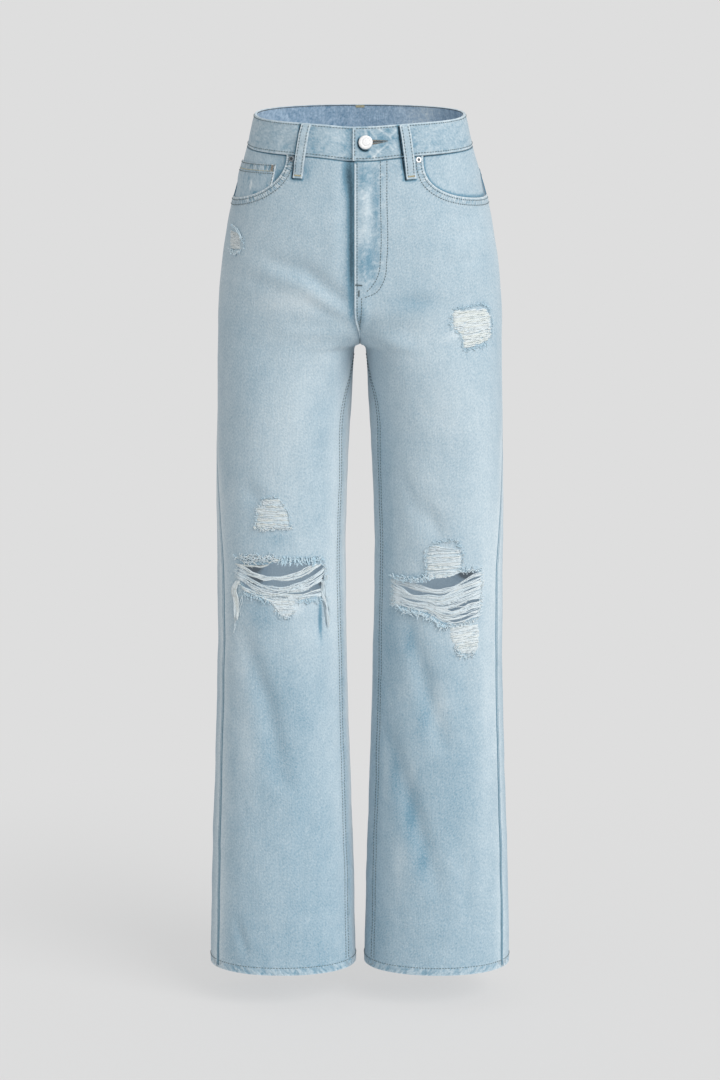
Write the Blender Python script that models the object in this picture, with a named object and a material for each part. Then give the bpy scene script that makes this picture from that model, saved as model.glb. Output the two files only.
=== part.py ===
"""Wide-leg ripped jeans in the hollow shape they have when worn: denim panels, waistband and trims.

Frame: metres, +Z up. The front faces -Y and +X is the wearer's left. The origin is the middle of
the waist opening, level with the top of the waistband at the side seams. Every panel is a wall cut
from one cloth surface, which is a stack of cross-sections: one closed ring round the hips that
parts into two leg rings at the crotch. A place on the cloth is (out, drop): metres out from its
inner edge (centre seam, then inseam) and metres down it.
"""
import math

import bmesh
import bpy
import numpy as np
from mathutils.geometry import delaunay_2d_cdt

# Driving dimensions, in metres unless a name says otherwise.
LENGTH = 1.060                # waistband top at the side seam to hem
CROTCH = 0.277                # level of the crotch below the waistband top
FORK = 0.055                  # height over which the hip ring parts into two legs
ROUNDING = (0.222, 0.350)     # levels over which the flat fronts and backs round into legs
FORK_NEAR = (0.004, 0.050)    # distances from the middle between which the fork gives way to that
ARCH = 0.0065                 # radius of the gap between the legs at the crotch
PARTING = 0.0004              # half the gap between the two leg rings where they meet
TILT_FRONT, TILT_BACK = 0.125, 0.110   # fall of the waist to the front, rise to the back
TILT_ENDS = 0.25              # level where that tilt has faded out
DIP, DIP_REACH = 0.0055, 0.045   # how far the band sags at the centre front, and over what width
DIP_ENDS = (0.060, 0.160)
HIP_FULLNESS = 2.3            # exponent of the section curve, 2 being an ellipse
LEG_FULLNESS = 2.15

DENIM = 0.0015                # wall of one cloth panel
SEAM = 0.0003                 # gap between neighbouring pieces
BAND_HEIGHT = 0.0375
BAND_WALL = 0.0025            # two layers of denim and their stiffener
BAND_PROUD = 0.0006           # band's face above the panels' face

LEFT, RIGHT = 1, -1           # the wearer's sides, as the sign of x
FRONT, BACK = "front", "back"

# The girth at each level. Outer and inner are distances from the middle plane, front and back are
# depths from the side plane, and the turns say how far forward of it each leg seam runs.
SECTIONS = np.array([
    # level  outer   inner   front   back   outseam turn  inseam turn (degrees)
    (0.000, 0.1265, 0.0000, 0.1000, 0.0980, 0, 0),
    (0.041, 0.1362, 0.0000, 0.1055, 0.1060, 0, 0),
    (0.098, 0.1532, 0.0000, 0.1115, 0.1200, 0, 0),
    (0.155, 0.1646, 0.0000, 0.1125, 0.1290, 0, 0),
    (0.222, 0.1720, 0.0000, 0.1080, 0.1290, 0, 0),
    (0.277, 0.1733, 0.0062, 0.1000, 0.1150, 0, 0),
    (0.340, 0.1745, 0.0102, 0.0930, 0.1020, 0, 24),
    (0.440, 0.1763, 0.0155, 0.0850, 0.0890, 14, 24),
    (0.540, 0.1769, 0.0181, 0.0800, 0.0800, 26, 24),
    (0.640, 0.1767, 0.0165, 0.0775, 0.0770, 27, 24),
    (0.795, 0.1811, 0.0127, 0.0740, 0.0750, 27, 24),
    (0.950, 0.1870, 0.0079, 0.0715, 0.0740, 28, 24),
    (1.060, 0.1890, 0.0058, 0.0690, 0.0730, 28, 24),
])

# The largest folds of the cloth: a line of (distance from the middle plane, level), the half
# width of the fold and its height off the cloth, negative for a trough.
FOLDS = [
    # side, part, line, half width, height
    (RIGHT, FRONT, ((0.104, 0.172), (0.064, 0.185), (0.014, 0.226)), 0.011, -0.0040),
    (RIGHT, FRONT, ((0.110, 0.187), (0.064, 0.203), (0.014, 0.240)), 0.010, 0.0025),
    (RIGHT, FRONT, ((0.142, 0.630), (0.113, 0.713), (0.096, 0.808)), 0.013, -0.0050),
    (RIGHT, FRONT, ((0.134, 0.445), (0.122, 0.466)), 0.012, -0.0030),
    (LEFT, FRONT, ((0.018, 0.252), (0.074, 0.256)), 0.012, -0.0026),
    (LEFT, FRONT, ((0.076, 0.465), (0.097, 0.508)), 0.011, -0.0035),
    (LEFT, FRONT, ((0.062, 0.618), (0.082, 0.700), (0.101, 0.765)), 0.012, -0.0050),
    (LEFT, FRONT, ((0.034, 0.755), (0.065, 0.850), (0.094, 0.945)), 0.013, -0.0050),
    (LEFT, FRONT, ((0.135, 0.655), (0.124, 0.710)), 0.011, -0.0030),
    (RIGHT, BACK, ((0.036, 0.285), (0.080, 0.312), (0.128, 0.322)), 0.015, -0.0035),
    (RIGHT, BACK, ((0.060, 0.490), (0.105, 0.520)), 0.012, -0.0040),
    (RIGHT, BACK, ((0.060, 0.640), (0.095, 0.740), (0.110, 0.860)), 0.014, -0.0045),
    (LEFT, BACK, ((0.038, 0.292), (0.082, 0.320), (0.132, 0.330)), 0.015, -0.0035),
    (LEFT, BACK, ((0.055, 0.515), (0.110, 0.500)), 0.012, -0.0040),
    (LEFT, BACK, ((0.125, 0.600), (0.100, 0.720), (0.070, 0.880)), 0.014, -0.0045),
]
FOLD_FADE = 0.10              # share of a panel's width over which folds die out at its seams

# Slits torn across each knee: both ends, then how far the upper and lower lip sag between them.
KNEE_SLITS = [
    # side, inner x, inner level, outer x, outer level, upper sag, lower sag
    (RIGHT, 0.059, 0.5390, 0.145, 0.5392, -0.0015, 0.0140),
    (RIGHT, 0.047, 0.5440, 0.136, 0.5550, 0.0100, 0.0150),
    (RIGHT, 0.048, 0.5690, 0.077, 0.5760, -0.0010, 0.0038),
    (LEFT, 0.053, 0.5595, 0.142, 0.5495, 0.0005, 0.0150),
    (LEFT, 0.050, 0.5690, 0.109, 0.5730, 0.0045, 0.0075),
    (LEFT, 0.112, 0.5960, 0.142, 0.5845, -0.0010, 0.0020),
]

# Front pocket mouths: reach from the side, depth, fall towards the side and fullness.
MOUTHS = {
    RIGHT: (0.067, 0.0435, 0.25, 2.3),
    LEFT: (0.079, 0.0495, 0.12, 2.8),
}
MOUTH_SIDE = 0.153            # distance of the side from the middle plane where the mouths end
MOUTH_POINTS = 13
FACING_TUCK = 1.08            # how far the facing runs on under the front, in mouth sizes
TUCK_SIDE = 0.028             # distance from the outseam at which that tuck runs out
FACING_SUNK = 0.0030          # depth of the facing under the front at the mouth
FACING_WALL = 0.0010

CENTRE_FRONT = -0.0065        # x of the fly's edge
FLY_LAP = 0.0090              # how far the front pieces lap under the fly
FLY_PROUD = 0.0020            # the lapping front's height over the other
FLY_FOLD = (0.0045, 0.0145)   # how far out the lapping front comes down to the cloth
LAP_ENDS = (0.200, 0.212)     # levels between which the covered front's lap runs out
PROUD_ENDS = (0.236, 0.250)   # levels between which the lapping front comes down to the other
SEAM_CENTRED = (0.215, 0.245)   # levels between which the centre seam comes back to the middle

YOKE_SIDE, YOKE_CENTRE = 0.066, 0.106   # levels of the yoke seam at its two ends
GRID_STEP = 0.003             # rows of the stored cloth surface
GRID_COLUMNS = 60

# Materials: colour, roughness, metallic.
DENIM_LIGHT = ("washed_denim", (0.43, 0.60, 0.68), 0.90, 0.0)
DENIM_TRIM = ("washed_denim_trim", (0.38, 0.55, 0.65), 0.90, 0.0)
STEEL = ("brushed_steel", (0.72, 0.72, 0.74), 0.32, 1.0)


def smooth_rows(table, at):
    """Read a table between its rows along smooth curves. Its first column is what `at` is in."""
    key, columns = table[:, 0], table[:, 1:]
    slope = np.gradient(columns, key, axis=0)
    i = np.clip(np.searchsorted(key, at) - 1, 0, len(key) - 2)
    gap = (key[i + 1] - key[i])[:, None]
    t = (at[:, None] - key[i][:, None]) / gap
    start = columns[i] * (1 + 2 * t) + slope[i] * gap * t
    end = columns[i + 1] * (3 - 2 * t) - slope[i + 1] * gap * (1 - t)
    return start * (1 - t) ** 2 + end * t ** 2


def smoothstep(low, high, value):
    t = np.clip((value - low) / (high - low), 0, 1)
    return t * t * (3 - 2 * t)


FORK_TOP = CROTCH - FORK
FORK_DROP = FORK * math.pi / 2            # the cloth's own length down the fork
DROP_END = LENGTH - CROTCH + FORK_TOP + FORK_DROP


def level_at(drop):
    """The level and how far the legs have parted (0 to 1) at a drop down the cloth."""
    turn = np.clip((drop - FORK_TOP) / FORK, 0, math.pi / 2)
    below = np.maximum(drop - FORK_TOP - FORK_DROP, 0)
    level = np.minimum(drop, FORK_TOP) + FORK * np.sin(turn) + below
    return level, 1 - np.cos(turn)


def drop_at(level):
    inside = np.arcsin(np.clip((level - FORK_TOP) / FORK, 0, 1)) * FORK
    return np.minimum(level, FORK_TOP) + inside + np.maximum(level - CROTCH, 0)


def between(grid, row, column):
    """Values of a grid between its rows and columns."""
    i = np.clip(row.astype(int), 0, grid.shape[0] - 2)
    j = np.clip(column.astype(int), 0, grid.shape[1] - 2)
    a, b = (row - i)[:, None], (column - j)[:, None]
    upper = grid[i, j] * (1 - b) + grid[i, j + 1] * b
    lower = grid[i + 1, j] * (1 - b) + grid[i + 1, j + 1] * b
    return upper * (1 - a) + lower * a


def section_line(part, level, parted, section):
    """The front or back line of one side's section, from its inner edge to the outseam."""
    outer, inner, front, back, out_turn, in_turn = section
    way, depth = (-1, front) if part == FRONT else (1, back)
    into_arch = np.clip((level - CROTCH) / ARCH, 0, 1)
    inner = max(inner * math.sqrt(1 - (1 - into_arch) ** 2), PARTING * parted)
    in_turn = in_turn if level > CROTCH else 0
    angle = np.radians(np.linspace(180 * way + in_turn, -out_turn, 301))
    cos, sin = np.cos(angle), np.sin(angle)
    x = (outer + inner) / 2 + (outer - inner) / 2 * np.sign(cos) * np.abs(cos) ** (2 / LEG_FULLNESS)
    leg_depth = np.where(sin < 0, front, back)
    leg_y = leg_depth * np.sign(sin) * np.abs(sin) ** (2 / LEG_FULLNESS)
    hip_y = way * depth * np.clip(1 - (x / outer) ** HIP_FULLNESS, 0, 1) ** (1 / HIP_FULLNESS)
    away = smoothstep(*FORK_NEAR, x)
    leg_share = parted * (1 - away) + smoothstep(*ROUNDING, level) * away
    y = hip_y * (1 - leg_share) + leg_y * leg_share
    run = np.append(0, np.cumsum(np.hypot(np.diff(x), np.diff(y))))
    middle = np.interp(0, (angle - way * math.pi / 2) * -way, run)
    half = GRID_COLUMNS // 2
    even = np.append(np.linspace(0, middle, half + 1)[:-1], np.linspace(middle, run[-1], half + 1))
    return np.stack([np.interp(even, run, x), np.interp(even, run, y)], 1)


def cloth_surface(part):
    """The left half of the cloth without folds, and the level of each point.

    Rows go down it and columns out from its inner edge. Down the fork the inner edge turns level
    and runs back between the legs, so there the rows hang lower at that edge than at the outseam.
    """
    drops = np.arange(0, DROP_END + 2 * GRID_STEP, GRID_STEP)
    levels, parted = level_at(drops)
    stack = np.array([section_line(part, *row) for row in zip(
        levels, parted, smooth_rows(SECTIONS, levels))])
    steady = levels - FORK * np.sin(np.clip((drops - FORK_TOP) / FORK, 0, math.pi / 2))
    steady += np.clip(drops - FORK_TOP, 0, FORK_DROP) * 2 / math.pi
    away = smoothstep(0, 0.5, np.linspace(0, 1, GRID_COLUMNS + 1))
    level = levels[:, None] * (1 - away) + steady[:, None] * away
    columns = np.broadcast_to(np.arange(GRID_COLUMNS + 1.0), level.shape)
    flat = between(stack, drop_at(level).ravel() / GRID_STEP, columns.ravel())
    flat = flat.reshape(*level.shape, 2)
    x, y = flat[..., 0], flat[..., 1]
    tilt = np.where(y < 0, TILT_FRONT, TILT_BACK) * (1 - smoothstep(0, TILT_ENDS, level))
    dip = DIP * np.exp(-(x / DIP_REACH) ** 2) * (1 - smoothstep(*DIP_ENDS, level)) * (y < 0)
    dip *= 0.55 + 0.45 * smoothstep(0, BAND_HEIGHT, level)
    return np.dstack([x, y, y * tilt - level - dip]), level


def fold_heights(points, line, half_width):
    """How much of a fold is at each point of the cloth, seen from the front or back."""
    line = np.array(line)
    place = np.stack([np.abs(points[..., 0]), -points[..., 2]], -1)
    lengths = np.hypot(*np.diff(line, axis=0).T)
    best = np.zeros(place.shape[:2])
    for i, length in enumerate(lengths):
        along = (line[i + 1] - line[i]) / length
        offset = place - line[i]
        t = np.clip(offset @ along, 0, length)
        apart = np.linalg.norm(offset - t[..., None] * along, axis=-1)
        gone = (lengths[:i].sum() + t) / lengths.sum()
        strength = np.exp(-(apart / half_width) ** 2) * (0.45 + 0.55 * np.sin(math.pi * gone))
        best = np.maximum(best, strength)
    return best


def outward(points, part, side):
    normal = np.cross(np.gradient(points, axis=1), np.gradient(points, axis=0))
    normal *= side * (-1 if part == FRONT else 1)
    return normal / np.linalg.norm(normal, axis=-1, keepdims=True)


def folded_cloth(side, part):
    """The cloth of one side with its folds.

    Its points and outward normals, how far out along its row each point is, and its level.
    """
    points, level = cloth_surface(part)
    points *= (side, 1, 1)
    share = np.linspace(0, 1, GRID_COLUMNS + 1)
    keep = smoothstep(0, FOLD_FADE, share) * smoothstep(0, FOLD_FADE, 1 - share)
    height = np.zeros(points.shape[:2])
    for fold_side, fold_part, line, half_width, fold_height in FOLDS:
        if (fold_side, fold_part) == (side, part):
            height += fold_height * fold_heights(points, line, half_width)
    points += outward(points, part, side) * (height * keep)[..., None]
    steps = np.linalg.norm(np.diff(points, axis=1), axis=-1)
    out = np.hstack([np.zeros((len(points), 1)), np.cumsum(steps, axis=1)])
    return points, outward(points, part, side), out, level


CLOTH = {(side, part): folded_cloth(side, part) for side in (LEFT, RIGHT) for part in (FRONT, BACK)}


def width_at(side, part, drop):
    width = CLOTH[side, part][2][:, -1]
    return np.interp(drop, np.arange(len(width)) * GRID_STEP, width)


def column_at(out_grid, row, out):
    """The column of each place, read from how far out along its row it is."""
    i = np.clip(row.astype(int), 0, len(out_grid) - 2)
    a = (row - i)[:, None]
    runs = out_grid[i] * (1 - a) + out_grid[i + 1] * a
    j = np.clip((runs <= out[:, None]).sum(1) - 1, 0, runs.shape[1] - 2)
    k = np.arange(len(j))
    return j + (out - runs[k, j]) / (runs[k, j + 1] - runs[k, j])


def on_cloth(side, part, places, lift=0.0):
    """Points in space of (out, drop) places, lifted off the cloth; out < 0 is past the middle."""
    out, row = places[:, 0], places[:, 1] / GRID_STEP
    points, normals, out_grid, _ = CLOTH[side, part]
    column = column_at(out_grid, row, np.abs(out))
    spot = between(points, row, column) + between(normals, row, column) * np.reshape(lift, (-1, 1))
    spot[:, 0] *= np.where(out < 0, -1, 1)
    return spot


def place_at(side, part, x, level):
    """The (out, drop) place of a spot given as its distance from the middle plane and its level."""
    points, _, out_grid, levels = CLOTH[side, part]
    columns = np.arange(GRID_COLUMNS + 1)
    drop = float(level)
    for _ in range(12):
        row = np.full(GRID_COLUMNS + 1, drop / GRID_STEP)
        across = np.abs(between(points, row, columns)[:, 0])
        column = np.array([np.interp(abs(x), across, columns)])
        drop += level - float(between(levels[..., None], row[:1], column)[0, 0])
    out = float(between(out_grid[..., None], row[:1], column)[0, 0])
    return math.copysign(out, x), drop


def places_at(side, part, spots):
    return [place_at(side, part, x, level) for x, level in spots]


def line(start, end, step):
    """Places from one place up to, but not including, another."""
    start, end = np.array(start, float), np.array(end, float)
    count = max(1, round(float(np.linalg.norm(end - start)) / step))
    return [tuple(start + (end - start) * i / count) for i in range(count)]


def closed_line(corners, step):
    """Places round a closed figure with straight sides."""
    return [place for start, end in zip(corners, corners[1:] + corners[:1])
            for place in line(start, end, step)]


def down_edge(edge, start, end, step):
    """Places along an edge, given as a function of the drop, up to but not including its end.

    They lie at whole steps of the drop, so that both panels of a seam bend at the same places.
    """
    low, high = min(start, end), max(start, end)
    stops = [k * step for k in range(math.ceil(low / step), math.floor(high / step) + 1)]
    stops = [d for d in stops if low + step * 0.3 < d < high - step * 0.3]
    return [(edge(d), d) for d in [start] + (stops if end > start else stops[::-1])]


def inside(places, loop):
    """Whether each place lies in a closed loop, and how far it is from the loop."""
    a, b = np.array(loop), np.roll(loop, -1, axis=0)
    x, y = places[:, :1], places[:, 1:]
    crosses = (a[:, 1] > y) != (b[:, 1] > y)
    rise = np.where(a[:, 1] == b[:, 1], 1, b[:, 1] - a[:, 1])
    hit = x < a[:, 0] + (y - a[:, 1]) * (b[:, 0] - a[:, 0]) / rise
    run = b - a
    t = ((places[:, None] - a) * run).sum(-1) / np.maximum((run ** 2).sum(-1), 1e-18)
    nearest = a + np.clip(t, 0, 1)[..., None] * run
    return (crosses & hit).sum(1) % 2 == 1, np.linalg.norm(places[:, None] - nearest, axis=-1).min(1)


def cut_flat(outline, across, rows=None, holes=(), marks=(), close=()):
    """Triangles that fill an outline around its holes, with inner places on staggered rows.

    Marks are loops that the triangles' edges follow, for a piece that is laid on this one. Close
    are inner places of their own, where the cloth bends more than elsewhere.
    """
    loops = [np.array(loop) for loop in (outline, *holes, *marks)]
    low, high = loops[0].min(0), loops[0].max(0)
    if rows is None:
        rows = np.arange(low[1] + across * 0.8, high[1], across)
    inner = []
    for k, drop in enumerate(rows):
        if low[1] < drop < high[1]:
            start = low[0] + across * (0.5 if k % 2 else 1.0)
            inner += [(x, drop) for x in np.arange(start, high[0], across)]
    if len(close):
        inner = [p for p in inner if min(math.dist(p, q) for q in close) > across * 0.6]
        inner += list(close)
    if inner:
        inner = np.array(inner)
        keep = np.ones(len(inner), bool)
        for number, loop in enumerate(loops):
            within, apart = inside(inner, loop)
            keep &= apart > across * (0.25 if len(close) else 0.42)
            if number <= len(holes):
                keep &= within == (number == 0)
        inner = inner[keep]
    places, edges = [], []
    for loop in loops:
        first = len(places)
        places += [tuple(p) for p in loop]
        edges += [(first + i, first + (i + 1) % len(loop)) for i in range(len(loop))]
    places += [tuple(p) for p in inner]
    verts, _, faces, _, _, _ = delaunay_2d_cdt(places, edges, [], 1, 1e-7)
    verts = np.array([tuple(v) for v in verts])
    flat = verts, [tuple(face) for face in faces]
    flat = trimmed(flat, outline)
    for hole in holes:
        flat = trimmed(flat, hole, outside=True)
    return flat


def trimmed(flat, loop, outside=False):
    """The triangles of a flat piece that lie in a loop, or outside it, and their places."""
    verts, faces = flat
    middles = np.array([verts[list(face)].mean(0) for face in faces])
    kept = [face for face, within in zip(faces, inside(middles, loop)[0]) if within != outside]
    used = sorted({i for face in kept for i in face})
    number = {old: new for new, old in enumerate(used)}
    return verts[used], [tuple(number[i] for i in face) for face in kept]


def material(spec):
    name, colour, roughness, metallic = spec
    made = bpy.data.materials.get(name) or bpy.data.materials.new(name)
    made.use_nodes = True
    shader = made.node_tree.nodes["Principled BSDF"]
    shader.inputs["Base Color"].default_value = (*colour, 1.0)
    shader.inputs["Roughness"].default_value = roughness
    shader.inputs["Metallic"].default_value = metallic
    return made


def add_object(name, points, faces, spec):
    mesh = bpy.data.meshes.new(name)
    mesh.from_pydata([tuple(map(float, p)) for p in points], [], faces)
    bm = bmesh.new()
    bm.from_mesh(mesh)
    if bm.calc_volume(signed=True) < 0:
        bmesh.ops.reverse_faces(bm, faces=bm.faces)
    bm.to_mesh(mesh)
    bm.free()
    mesh.shade_smooth()
    mesh.set_sharp_from_angle(angle=math.radians(40))
    mesh.materials.append(material(spec))
    made = bpy.data.objects.new(name, mesh)
    bpy.context.collection.objects.link(made)
    return made


def cloth_piece(name, flat, place, lift=0.0, wall=DENIM, spec=DENIM_LIGHT):
    """A wall over a flat piece: its outer face at `lift` off the cloth, the inner one below it."""
    places, triangles = flat
    lifts = lift(places) if callable(lift) else np.full(len(places), lift)
    count = len(places)
    points = np.vstack([place(places, lifts), place(places, lifts - wall)])
    faces = triangles + [tuple(i + count for i in reversed(t)) for t in triangles]
    sides = {(t[i], t[(i + 1) % 3]) for t in triangles for i in range(3)}
    faces += [(b, a, a + count, b + count) for a, b in sides if (b, a) not in sides]
    return add_object(name, points, faces, spec)


def cloth_placer(side, part):
    return lambda places, lifts: on_cloth(side, part, places, lifts)


def outseam(side, part):
    """The outer edge of a panel, as a function of the drop."""
    return lambda drop: float(width_at(side, part, drop)) - SEAM / 2


def side_name(side):
    return "left" if side == LEFT else "right"


def centre_edge(side, drop):
    """How far out the centre seam is on a front piece, at a drop."""
    level = float(level_at(np.array(drop))[0])
    shift = CENTRE_FRONT * (1 - smoothstep(*SEAM_CENTRED, level))
    if side == LEFT:
        return shift + SEAM / 2
    lap = FLY_LAP * (1 - smoothstep(*LAP_ENDS, level))
    return -shift + SEAM / 2 - lap


def fly_lift(places):
    """The left front stands proud where it laps over the right one."""
    level = level_at(places[:, 1])[0]
    near = 1 - smoothstep(*FLY_FOLD, places[:, 0])
    return FLY_PROUD * near * (1 - smoothstep(*PROUD_ENDS, level))


def fly_fold(top):
    """The strip where the lapping front comes down to the cloth."""
    near, far = FLY_FOLD
    low = float(drop_at(PROUD_ENDS[1]))
    down = [(near, drop) for drop in np.linspace(top, low, 10)]
    return down + [(far, drop) for _, drop in reversed(down)]


def mouth(side, size=1.0):
    """Places along a front pocket's mouth, from the waistband seam to the outseam."""
    reach, depth, fall, fullness = MOUTHS[side]
    spots = []
    for angle in np.radians(np.linspace(0, 90, 61)):
        across = reach * math.cos(angle) ** (2 / fullness)
        down = depth * math.sin(angle) ** (2 / fullness) + fall * (reach - across)
        spots.append((MOUTH_SIDE - size * across, BAND_HEIGHT + SEAM + size * down))
    places = places_at(side, FRONT, spots)
    places[-1] = (outseam(side, FRONT)(places[-1][1]), places[-1][1])
    return evenly(places, MOUTH_POINTS)


def evenly(places, count):
    """A line of places drawn again with its points at even distances."""
    places = np.array(places)
    run = np.append(0, np.cumsum(np.linalg.norm(np.diff(places, axis=0), axis=1)))
    even = np.linspace(0, run[-1], count)
    return [(float(np.interp(d, run, places[:, 0])), float(np.interp(d, run, places[:, 1])))
            for d in even]


def mouth_measure(side, places):
    """0 at the side seam under the waistband, 1 on the pocket's mouth."""
    reach, depth, fall, fullness = MOUTHS[side]
    across = MOUTH_SIDE - np.abs(on_cloth(side, FRONT, places)[:, 0])
    down = places[:, 1] - BAND_HEIGHT - SEAM - fall * (reach - across)
    ends = np.clip(across / reach, 0, None) ** fullness + np.clip(down / depth, 0, None) ** fullness
    return ends ** (1 / fullness)


def facing_lift(side):
    return lambda places: -FACING_SUNK * smoothstep(0.40, 0.88, mouth_measure(side, places))


def slit_outline(side, slit):
    """A lens between two ends, sagging as torn cloth does."""
    inner_x, inner_level, outer_x, outer_level, upper, lower = slit
    spots = []
    for t in np.linspace(0, 1, 10)[:-1]:
        spots.append((t, upper * math.sin(math.pi * t)))
    for t in np.linspace(1, 0, 10)[:-1]:
        spots.append((t, lower * math.sin(math.pi * t)))
    return places_at(side, FRONT, [
        (inner_x + (outer_x - inner_x) * t, inner_level + (outer_level - inner_level) * t + sag)
        for t, sag in spots])


def leg_rows(*bands):
    """Drops of the rows of inner places: each band is (start, end, spacing) in levels."""
    rows = []
    for start, end, spacing in bands:
        start, end = float(drop_at(start)), float(drop_at(end))
        rows += list(np.linspace(start, end, max(2, round((end - start) / spacing)), endpoint=False))
    return rows


def fork_places():
    """Closer inner places where a panel bends round the fork."""
    drops = np.arange(FORK_TOP - 0.006, FORK_TOP + FORK_DROP + 0.030, 0.0130)
    return [(out + 0.007 * (k % 2), drop) for k, drop in enumerate(drops)
            for out in (0.0125, 0.0265)]


def front_piece(side):
    top, hem = BAND_HEIGHT + SEAM, DROP_END
    crotch = FORK_TOP + FORK_DROP
    scoop = mouth(side)
    outer = outseam(side, FRONT)
    inner = lambda drop: centre_edge(side, drop) if drop < crotch else SEAM / 2
    folds = [fly_fold(top)] if side == LEFT else []
    outline = [(inner(top), top)] + [(out, top) for out in FLY_FOLD if side == LEFT]
    outline = outline[:-1] + line(outline[-1], scoop[0], 0.018) + scoop[:-1]
    outline += down_edge(outer, scoop[-1][1], hem, 0.032)
    outline += line((outer(hem), hem), (inner(hem), hem), 0.018)
    outline += down_edge(inner, hem, crotch, 0.032)
    outline += down_edge(inner, crotch, FORK_TOP, 0.0115)
    outline += down_edge(inner, FORK_TOP, top, 0.025)
    holes = [slit_outline(side, slit[1:]) for slit in KNEE_SLITS if slit[0] == side]
    rows = leg_rows((0.055, 0.277, 0.023), (0.277, 0.50, 0.032), (0.50, 0.64, 0.022),
                    (0.64, 1.06, 0.034))
    flat = cut_flat(outline, 0.021, rows, holes, folds, fork_places())
    cloth_piece("front_" + side_name(side), flat, cloth_placer(side, FRONT),
                fly_lift if side == LEFT else 0.0)


def yoke_seam(side, below):
    """Places along the yoke seam, from the centre back to the outseam."""
    places = []
    for t in np.linspace(0, 1, 9):
        drop = YOKE_CENTRE + (YOKE_SIDE - YOKE_CENTRE) * t + below
        width = float(width_at(side, BACK, drop))
        places.append((SEAM / 2 + (width - SEAM) * t, drop))
    return places


# Back pockets: half widths at the top and at the corners above the point, and their levels.
POCKET_MIDDLE = 0.079
POCKET_TOP, POCKET_CORNER, POCKET_POINT = 0.126, 0.232, 0.262
POCKET_HALF_TOP, POCKET_HALF_LOW = 0.066, 0.056


def back_pocket_outline(side):
    spots = [(-POCKET_HALF_TOP, POCKET_TOP), (POCKET_HALF_TOP, POCKET_TOP - 0.006),
             (POCKET_HALF_LOW, POCKET_CORNER), (0, POCKET_POINT), (-POCKET_HALF_LOW, POCKET_CORNER)]
    corners = places_at(side, BACK, [(POCKET_MIDDLE + x, level) for x, level in spots])
    return closed_line(corners, 0.024)


def back_piece(side):
    """A back panel and the patch pocket laid on it."""
    hem, crotch = DROP_END, FORK_TOP + FORK_DROP
    seam = yoke_seam(side, SEAM / 2)
    outer = outseam(side, BACK)
    inner = lambda drop: SEAM / 2
    outline = seam[:-1] + down_edge(outer, seam[-1][1], hem, 0.032)
    outline += line((outer(hem), hem), (SEAM / 2, hem), 0.020)
    outline += down_edge(inner, hem, crotch, 0.032)
    outline += down_edge(inner, crotch, FORK_TOP, 0.0115)
    outline += down_edge(inner, FORK_TOP, seam[0][1], 0.028)
    rows = leg_rows((0.080, 0.277, 0.028), (0.277, 1.06, 0.041))
    pocket = back_pocket_outline(side)
    flat = cut_flat(outline, 0.026, rows, marks=[pocket], close=fork_places())
    cloth_piece("back_" + side_name(side), flat, cloth_placer(side, BACK))
    cloth_piece("back_pocket_" + side_name(side), trimmed(flat, pocket), cloth_placer(side, BACK),
                lift=DENIM + SEAM)


def yoke_piece(side):
    top = BAND_HEIGHT + SEAM
    seam = yoke_seam(side, -SEAM / 2)
    outer = outseam(side, BACK)
    outline = line((SEAM / 2, top), (outer(top), top), 0.019)
    outline += down_edge(outer, top, seam[-1][1], 0.032)
    outline += seam[:0:-1] + line(seam[0], (SEAM / 2, top), 0.018)
    cloth_piece("yoke_" + side_name(side), cut_flat(outline, 0.022), cloth_placer(side, BACK))


# The coin pocket on the right facing: its top edge and its free side, as (x, level).
COIN_TOP_SIDE, COIN_TOP_FREE, COIN_LOW_FREE = 0.0525, (0.1007, 0.0502), (0.1070, 0.0735)
COIN_SIZE = 0.965             # its lower edge follows the mouth at this share of its size
COIN_WALL = 0.0012


def coin_outline():
    outer = outseam(RIGHT, FRONT)
    corner, low = places_at(RIGHT, FRONT, [COIN_TOP_FREE, COIN_LOW_FREE])
    curve_below = [place for place in mouth(RIGHT, COIN_SIZE)[:-1] if place[0] > low[0] + 0.004]
    end = curve_below[-1][1]
    start = (outer(COIN_TOP_SIDE) - 2 * SEAM, COIN_TOP_SIDE)
    return (line(start, corner, 0.011) + line(corner, low, 0.011) + [low] + curve_below
            + line((outer(end) - 2 * SEAM, end), start, 0.013))


def facing_piece(side):
    """The cloth behind a front pocket's mouth, from the waistband to the outseam."""
    top = BAND_HEIGHT + SEAM
    tucked = mouth(side, FACING_TUCK)
    outer = outseam(side, FRONT)
    end = mouth(side)[-1][1] - 2 * SEAM
    outline = line(tucked[0], (outer(top), top), 0.014) + down_edge(outer, top, end, 0.016)
    low = [place for place in tucked[1:-1] if place[0] < outer(end) - TUCK_SIDE]
    outline += [(outer(end), end)] + low[::-1]
    coin = [coin_outline()] if side == RIGHT else []
    flat = cut_flat(outline, 0.014, marks=coin)
    sunk = facing_lift(side)
    cloth_piece("pocket_facing_" + side_name(side), flat, cloth_placer(side, FRONT), sunk,
                FACING_WALL)
    for loop in coin:
        cloth_piece("coin_pocket", trimmed(flat, loop), cloth_placer(side, FRONT),
                    lambda places: sunk(places) + COIN_WALL + SEAM, COIN_WALL)


# The waistband is a strip that starts under its own far end. Its places are measured round the
# waist from the middle of the front, by the wearer's right side and the back.
BAND_UNDER = 0.030            # how far past the middle the covered end runs
BAND_OVER = 0.0085            # how far past the middle the lapping end runs
BAND_SUNK = 0.0030            # depth of the covered end under the lapping one
BUTTON_X = 0.0065
BUTTON_LEVEL = 0.0175
BUTTONHOLE_END = 0.0325
EYELET_RADIUS, SHANK_RADIUS = 0.0032, 0.0022


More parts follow.
